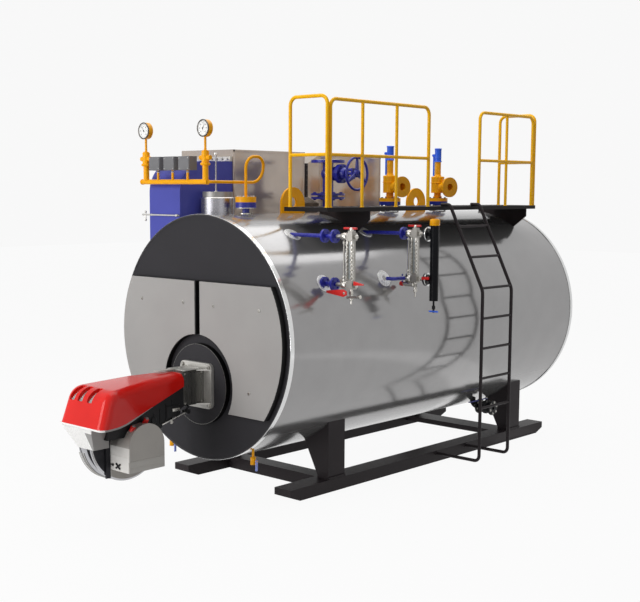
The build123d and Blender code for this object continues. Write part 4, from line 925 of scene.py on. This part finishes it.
FRONT_X, FRONT_Y = SHELL_R + 0.185, 0.546 + FRONT
REAR_X, REAR_Y = SHELL_R + 0.106, 1.532 + FRONT
reds = level_details("level_front", FRONT_X, FRONT_Y, (0.984, 1.098))
fin(reds, (FRONT_X - 0.03, FRONT_Y - 0.062, LOW_Z - 0.062),
    ((-0.200, -0.010), (-0.200, 0.010), (-0.010, 0.030), (0.028, 0.014), (0.028, -0.018), (-0.010, -0.034)), 0.004)
fin(reds, (FRONT_X, FRONT_Y - 0.035, LOW_Z), ((0.050, 0.040), (0.050, 0.004), (0.160, 0.010), (0.160, 0.020)),
    0.003)
piece("level_front_handles", reds, RED_HANDLE)
mesh = fresh()
turn(mesh, [(0, 0), (0.012, 0), (0.012, 0.120), (0.016, 0.126), (0.016, 0.150), (0, 0.150)],
     (FRONT_X - 0.04, FRONT_Y - 0.01, LOW_Z - 0.105), Vector((1, 0, 0.10)), 14)
disc(mesh, (FRONT_X - 0.03, FRONT_Y - 0.042, LOW_Z - 0.064), -Y, 0.011, 0.024, 0.003, 12)
tube(mesh, [(FRONT_X, FRONT_Y, LOW_Z - 0.030), (FRONT_X, FRONT_Y, LOW_Z - 0.160)], 0.007, 10)
piece("level_front_drain", mesh, STEEL)
reds = level_details("level_rear", REAR_X, REAR_Y, (1.068,))
fin(reds, (REAR_X, REAR_Y - 0.060, LOW_Z), ((0.115, 0.026), (0.115, 0.000), (0.195, 0.004), (0.195, 0.030)),
    0.003)
turn(reds, [(0, 0), (0.020, 0.002), (0.022, 0.012), (0.022, 0.028), (0.018, 0.036), (0, 0.036)],
     (REAR_X - 0.165, REAR_Y - 0.01, LOW_Z - 0.052), X, 20)
piece("level_rear_handles", reds, RED_HANDLE)
mesh = fresh()
turn(mesh, [(0, 0), (0.014, 0), (0.014, 0.020), (0.022, 0.026), (0.022, 0.120), (0.014, 0.128), (0, 0.128)],
     (REAR_X - 0.132, REAR_Y - 0.01, LOW_Z - 0.052), X, 18)
tube(mesh, [(REAR_X, REAR_Y, LOW_Z - 0.030), (REAR_X, REAR_Y, LOW_Z - 0.165)], 0.007, 10)
disc(mesh, (REAR_X, REAR_Y, LOW_Z - 0.060), Z, 0.016, 0.032, 0.003, 12)
piece("level_rear_drain", mesh, STEEL)

WATER_X = SHELL_R + 0.317
mesh = fresh()
for z, r in ((HIGH_Z, 0.066), (LOW_Z, 0.060)):
    ring(mesh, (SHELL_R + 0.244, REAR_Y, z), X, r - 0.014, r, 0.010, 0.002, 40)
piece("water_column_rims", mesh, BRIGHT)
mesh = fresh()
for z in (HIGH_Z, LOW_Z):
    disc(mesh, (SHELL_R + 0.236, REAR_Y, z), X, 0.050, 0.010, 0.002, 32)
    for place in around((SHELL_R + 0.246, REAR_Y, z), X, 0.036, 4, math.pi / 4):
        bolt(mesh, place, X, 0.007)
turn(mesh, [(0, 0), (0.016, 0.004), (0.016, 0.034), (0, 0.040)], (WATER_X, REAR_Y, AXIS_Z + 0.241), Z, 14)
piece("water_column_flanges", mesh, BLACK_GLOSS)
single("water_column_handle", BRIGHT_BLUE, box, (WATER_X - 0.048, REAR_Y - 0.009, AXIS_Z + 0.218),
       (WATER_X + 0.048, REAR_Y + 0.009, AXIS_Z + 0.232), 0.004)
mesh = fresh()
turn(mesh, [(0.040, 0), (0.046, 0.004), (0.046, 0.020), (0.040, 0.024)], (WATER_X, REAR_Y, AXIS_Z + 0.996), Z, 8)
turn(mesh, [(0, 0), (0.046, 0.002), (0.046, 0.030), (0.038, 0.038), (0, 0.038)], (WATER_X, REAR_Y, AXIS_Z + 1.016), Z,
     24)
piece("water_column_cap", mesh, YELLOW_FIT)


# ---- blow-down valve and drain cocks

BLOW = Vector((0.733, 3.420 + FRONT, AXIS_Z - math.sqrt(SHELL_R ** 2 - 0.56 ** 2) - 0.068))
groups = [(around(BLOW + X * x, axis, 0.060, 6, 0.3), axis, 0.011)
          for x, axis in ((-0.093, -X), (-0.073, X), (0.073, -X), (0.093, X))]
groups.append((around(BLOW + Z * 0.060, Z, 0.038, 4, math.pi / 4), Z, 0.009))
bolts("blowdown_bolts", groups)
mesh = fresh()
turn(mesh, [(0.062, 0), (0.070, 0.010), (0.070, 0.034), (0.062, 0.044)], BLOW - X * 0.022, X, 32)
disc(mesh, BLOW + Z * 0.030, Z, 0.056, 0.031, 0.004, 32)
turn(mesh, [(0.030, 0), (0.038, 0.006), (0.038, 0.030), (0.030, 0.036)], BLOW - X * 0.129, X, 24)
piece("blowdown_casting", mesh, CASTING)
single("blowdown_lever_nut", BOLT, turn, [(0.0094, 0), (0.016, 0), (0.016, 0.007), (0.0094, 0.009)], BLOW + Z * 0.097,
       Z, 6, body="blowdown_lever")

DRAIN_X, DRAIN_Y = 0.543, 0.100 + FRONT
DRAIN_Z = AXIS_Z - math.sqrt(SHELL_R ** 2 - DRAIN_X ** 2) - 0.100
mesh = fresh()
for x in (-DRAIN_X, DRAIN_X):
    for z in (-0.034, 0.022):
        disc(mesh, (x, DRAIN_Y, DRAIN_Z + z), Z, 0.027, 0.013, 0.003, 6)
piece("drain_nuts", mesh, YELLOW_FIT)


# ---- platform, railings, ladder and skid

low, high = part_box("platform")
TREAD_PITCH, TREAD_MARGIN = 0.055, 0.06
counts = [int((high[axis] - low[axis] - TREAD_MARGIN) / TREAD_PITCH) for axis in (0, 1)]
mesh = fresh()
for j in range(counts[1]):
    for i in range(counts[0]):
        centre = Vector((low.x + 0.04 + TREAD_PITCH * i, low.y + 0.04 + TREAD_PITCH * j, high.z))
        a = math.radians(45 if (i + j) % 2 else -45)
        along = Vector((math.cos(a), math.sin(a), 0)) * 0.016
        across = Vector((-math.sin(a), math.cos(a), 0)) * 0.004
        corners = [mesh.verts.new(centre + p) for p in (-along, across, along, -across)]
        top = mesh.verts.new(centre + Z * 0.0022)
        for n in range(4):
            mesh.faces.new((corners[n], corners[(n + 1) % 4], top))
piece("tread_pattern", mesh, TREAD)

RAIL_R = 0.0165
rail_feet = []
for node in ("rail_front", "rail_side_front", "rail_side_rear", "rail_rear"):
    a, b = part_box(node)
    if node in ("rail_front", "rail_rear"):
        y = (a.y + b.y) / 2
        rail_feet += [(a.x + RAIL_R, y), (b.x - RAIL_R, y)]
    else:
        x = (a.x + b.x) / 2
        posts = (1.215, 1.709) if node == "rail_side_front" else (3.566,)
        rail_feet += [(x, y) for y in (a.y + RAIL_R, b.y - RAIL_R, *(place + FRONT for place in posts))]
mesh = fresh()
for x, y in rail_feet:
    turn(mesh, [(0.0145, 0), (0.0205, 0), (0.018, 0.006), (0.0145, 0.008)], (x, y, high.z), Z, 16)
piece("rail_welds", mesh, YELLOW)

bolts("saddle_bolts", [([(x, y, 0.1345) for x in (-0.700, 0.700)
                         for y in (-0.085, 0.085, 2.972 - 0.085, 2.972 + 0.085)], Z, 0.014)], DARK_BOLT)

mesh = fresh()
for y in (2.477 + FRONT, 2.985 + FRONT):
    turn(mesh, [(0.016, 0), (0.026, 0), (0.022, 0.008), (0.017, 0.010)], (0.7755, y, 0.090), X, 18)
piece("ladder_welds", mesh, BLACK)


# ---- stage, lights and camera

def ray_factor(nodes, links):
    """1 for rays that come from the camera, a mirror or glass."""
    path = nodes.new("ShaderNodeLightPath")
    total = path.outputs["Is Camera Ray"]
    for name in ("Is Glossy Ray", "Is Transmission Ray"):
        either = nodes.new("ShaderNodeMath")
        either.operation = "MAXIMUM"
        links.new(total, either.inputs[0])
        links.new(path.outputs[name], either.inputs[1])
        total = either.outputs[0]
    return total


floor = bpy.data.materials.new("floor_paper")
floor.use_nodes = True
nodes, links = floor.node_tree.nodes, floor.node_tree.links
paper = nodes["Principled BSDF"]
paper.inputs["Base Color"].default_value = (0.60, 0.60, 0.60, 1)
paper.inputs["Roughness"].default_value = 0.9
paper.inputs["Specular IOR Level"].default_value = 0.1
glow = nodes.new("ShaderNodeEmission")
glow.inputs["Color"].default_value = (1, 1, 1, 1)
blend = nodes.new("ShaderNodeMixShader")
share = nodes.new("ShaderNodeMath")
share.operation = "MULTIPLY"
share.inputs[1].default_value = 0.94
links.new(ray_factor(nodes, links), share.inputs[0])
links.new(share.outputs[0], blend.inputs[0])
links.new(paper.outputs[0], blend.inputs[1])
links.new(glow.outputs[0], blend.inputs[2])
links.new(blend.outputs[0], nodes["Material Output"].inputs["Surface"])
data = bpy.data.meshes.new("floor")
data.from_pydata([(-40, -40, 0), (40, -40, 0), (40, 40, 0), (-40, 40, 0)], [], [(0, 1, 2, 3)])
data.materials.append(floor)
thing = add("floor", data)

world = bpy.data.worlds.new("studio")
scene.world = world
world.use_nodes = True
nodes, links = world.node_tree.nodes, world.node_tree.links
back = nodes["Background"]
back.inputs["Color"].default_value = (0.94, 0.94, 0.94, 1)
fill = nodes.new("ShaderNodeBackground")
fill.inputs["Color"].default_value = (1, 1, 1, 1)
fill.inputs["Strength"].default_value = 0.30
blend = nodes.new("ShaderNodeMixShader")
links.new(ray_factor(nodes, links), blend.inputs[0])
links.new(fill.outputs[0], blend.inputs[1])
links.new(back.outputs[0], blend.inputs[2])
links.new(blend.outputs[0], nodes["World Output"].inputs["Surface"])


def lamp(name, place, target, size, power, size_y=None):
    """Area lamp that the camera doesn't see."""
    light = bpy.data.lights.new(name, "AREA")
    light.shape = "RECTANGLE"
    light.size = size
    light.size_y = size_y or size
    light.energy = power
    thing = add(name, light)
    thing.location = place
    thing.rotation_euler = (Vector(target) - Vector(place)).to_track_quat("-Z", "Y").to_euler()
    thing.visible_camera = False


lamp("overhead", (-0.5, 2.0, 7.5), (-0.5, 2.0, 0), 6.0, 340, 10.0)
lamp("key", (-3.2, -9.0, 4.6), (0, -1.0, 1.2), 5.0, 385)
lamp("low_front", (-0.5, -8.5, 0.7), (0, -1.5, 0.4), 2.5, 165)
lamp("side_fill", (8.0, -3.5, 4.0), (0, 0.8, 1.4), 4.0, 25)
lamp("floor_strip", (1.55, 3.0, 0.05), (1.45, 3.0, 3.0), 0.8, 8, 12.0)

# Camera fitted to the photo, its lens and shift measured in pixels
PHOTO_WIDTH, FOCAL, SHIFT = 640, 1131.32, 29.06
SENSOR_WIDTH = 36
cam_data = bpy.data.cameras.new("camera")
camera = add("camera", cam_data)
scene.camera = camera
yaw, pitch, roll = (math.radians(v) for v in (42.2555, 7.0195, 0.2832))
ahead = Vector((-math.sin(yaw) * math.cos(pitch), math.cos(yaw) * math.cos(pitch), -math.sin(pitch)))
right = ahead.cross(Z).normalized()
up = right.cross(ahead)
right_rolled = math.cos(roll) * right + math.sin(roll) * up
up_rolled = -math.sin(roll) * right + math.cos(roll) * up
pose = Matrix((right_rolled, up_rolled, -ahead)).transposed().to_4x4()
pose.translation = Vector((7.482, -7.634, 2.735))
camera.matrix_world = pose
cam_data.sensor_width = SENSOR_WIDTH
cam_data.lens = FOCAL / PHOTO_WIDTH * SENSOR_WIDTH
cam_data.shift_y = SHIFT / PHOTO_WIDTH
cam_data.clip_end = 200
scene.view_settings.view_transform = "Standard"
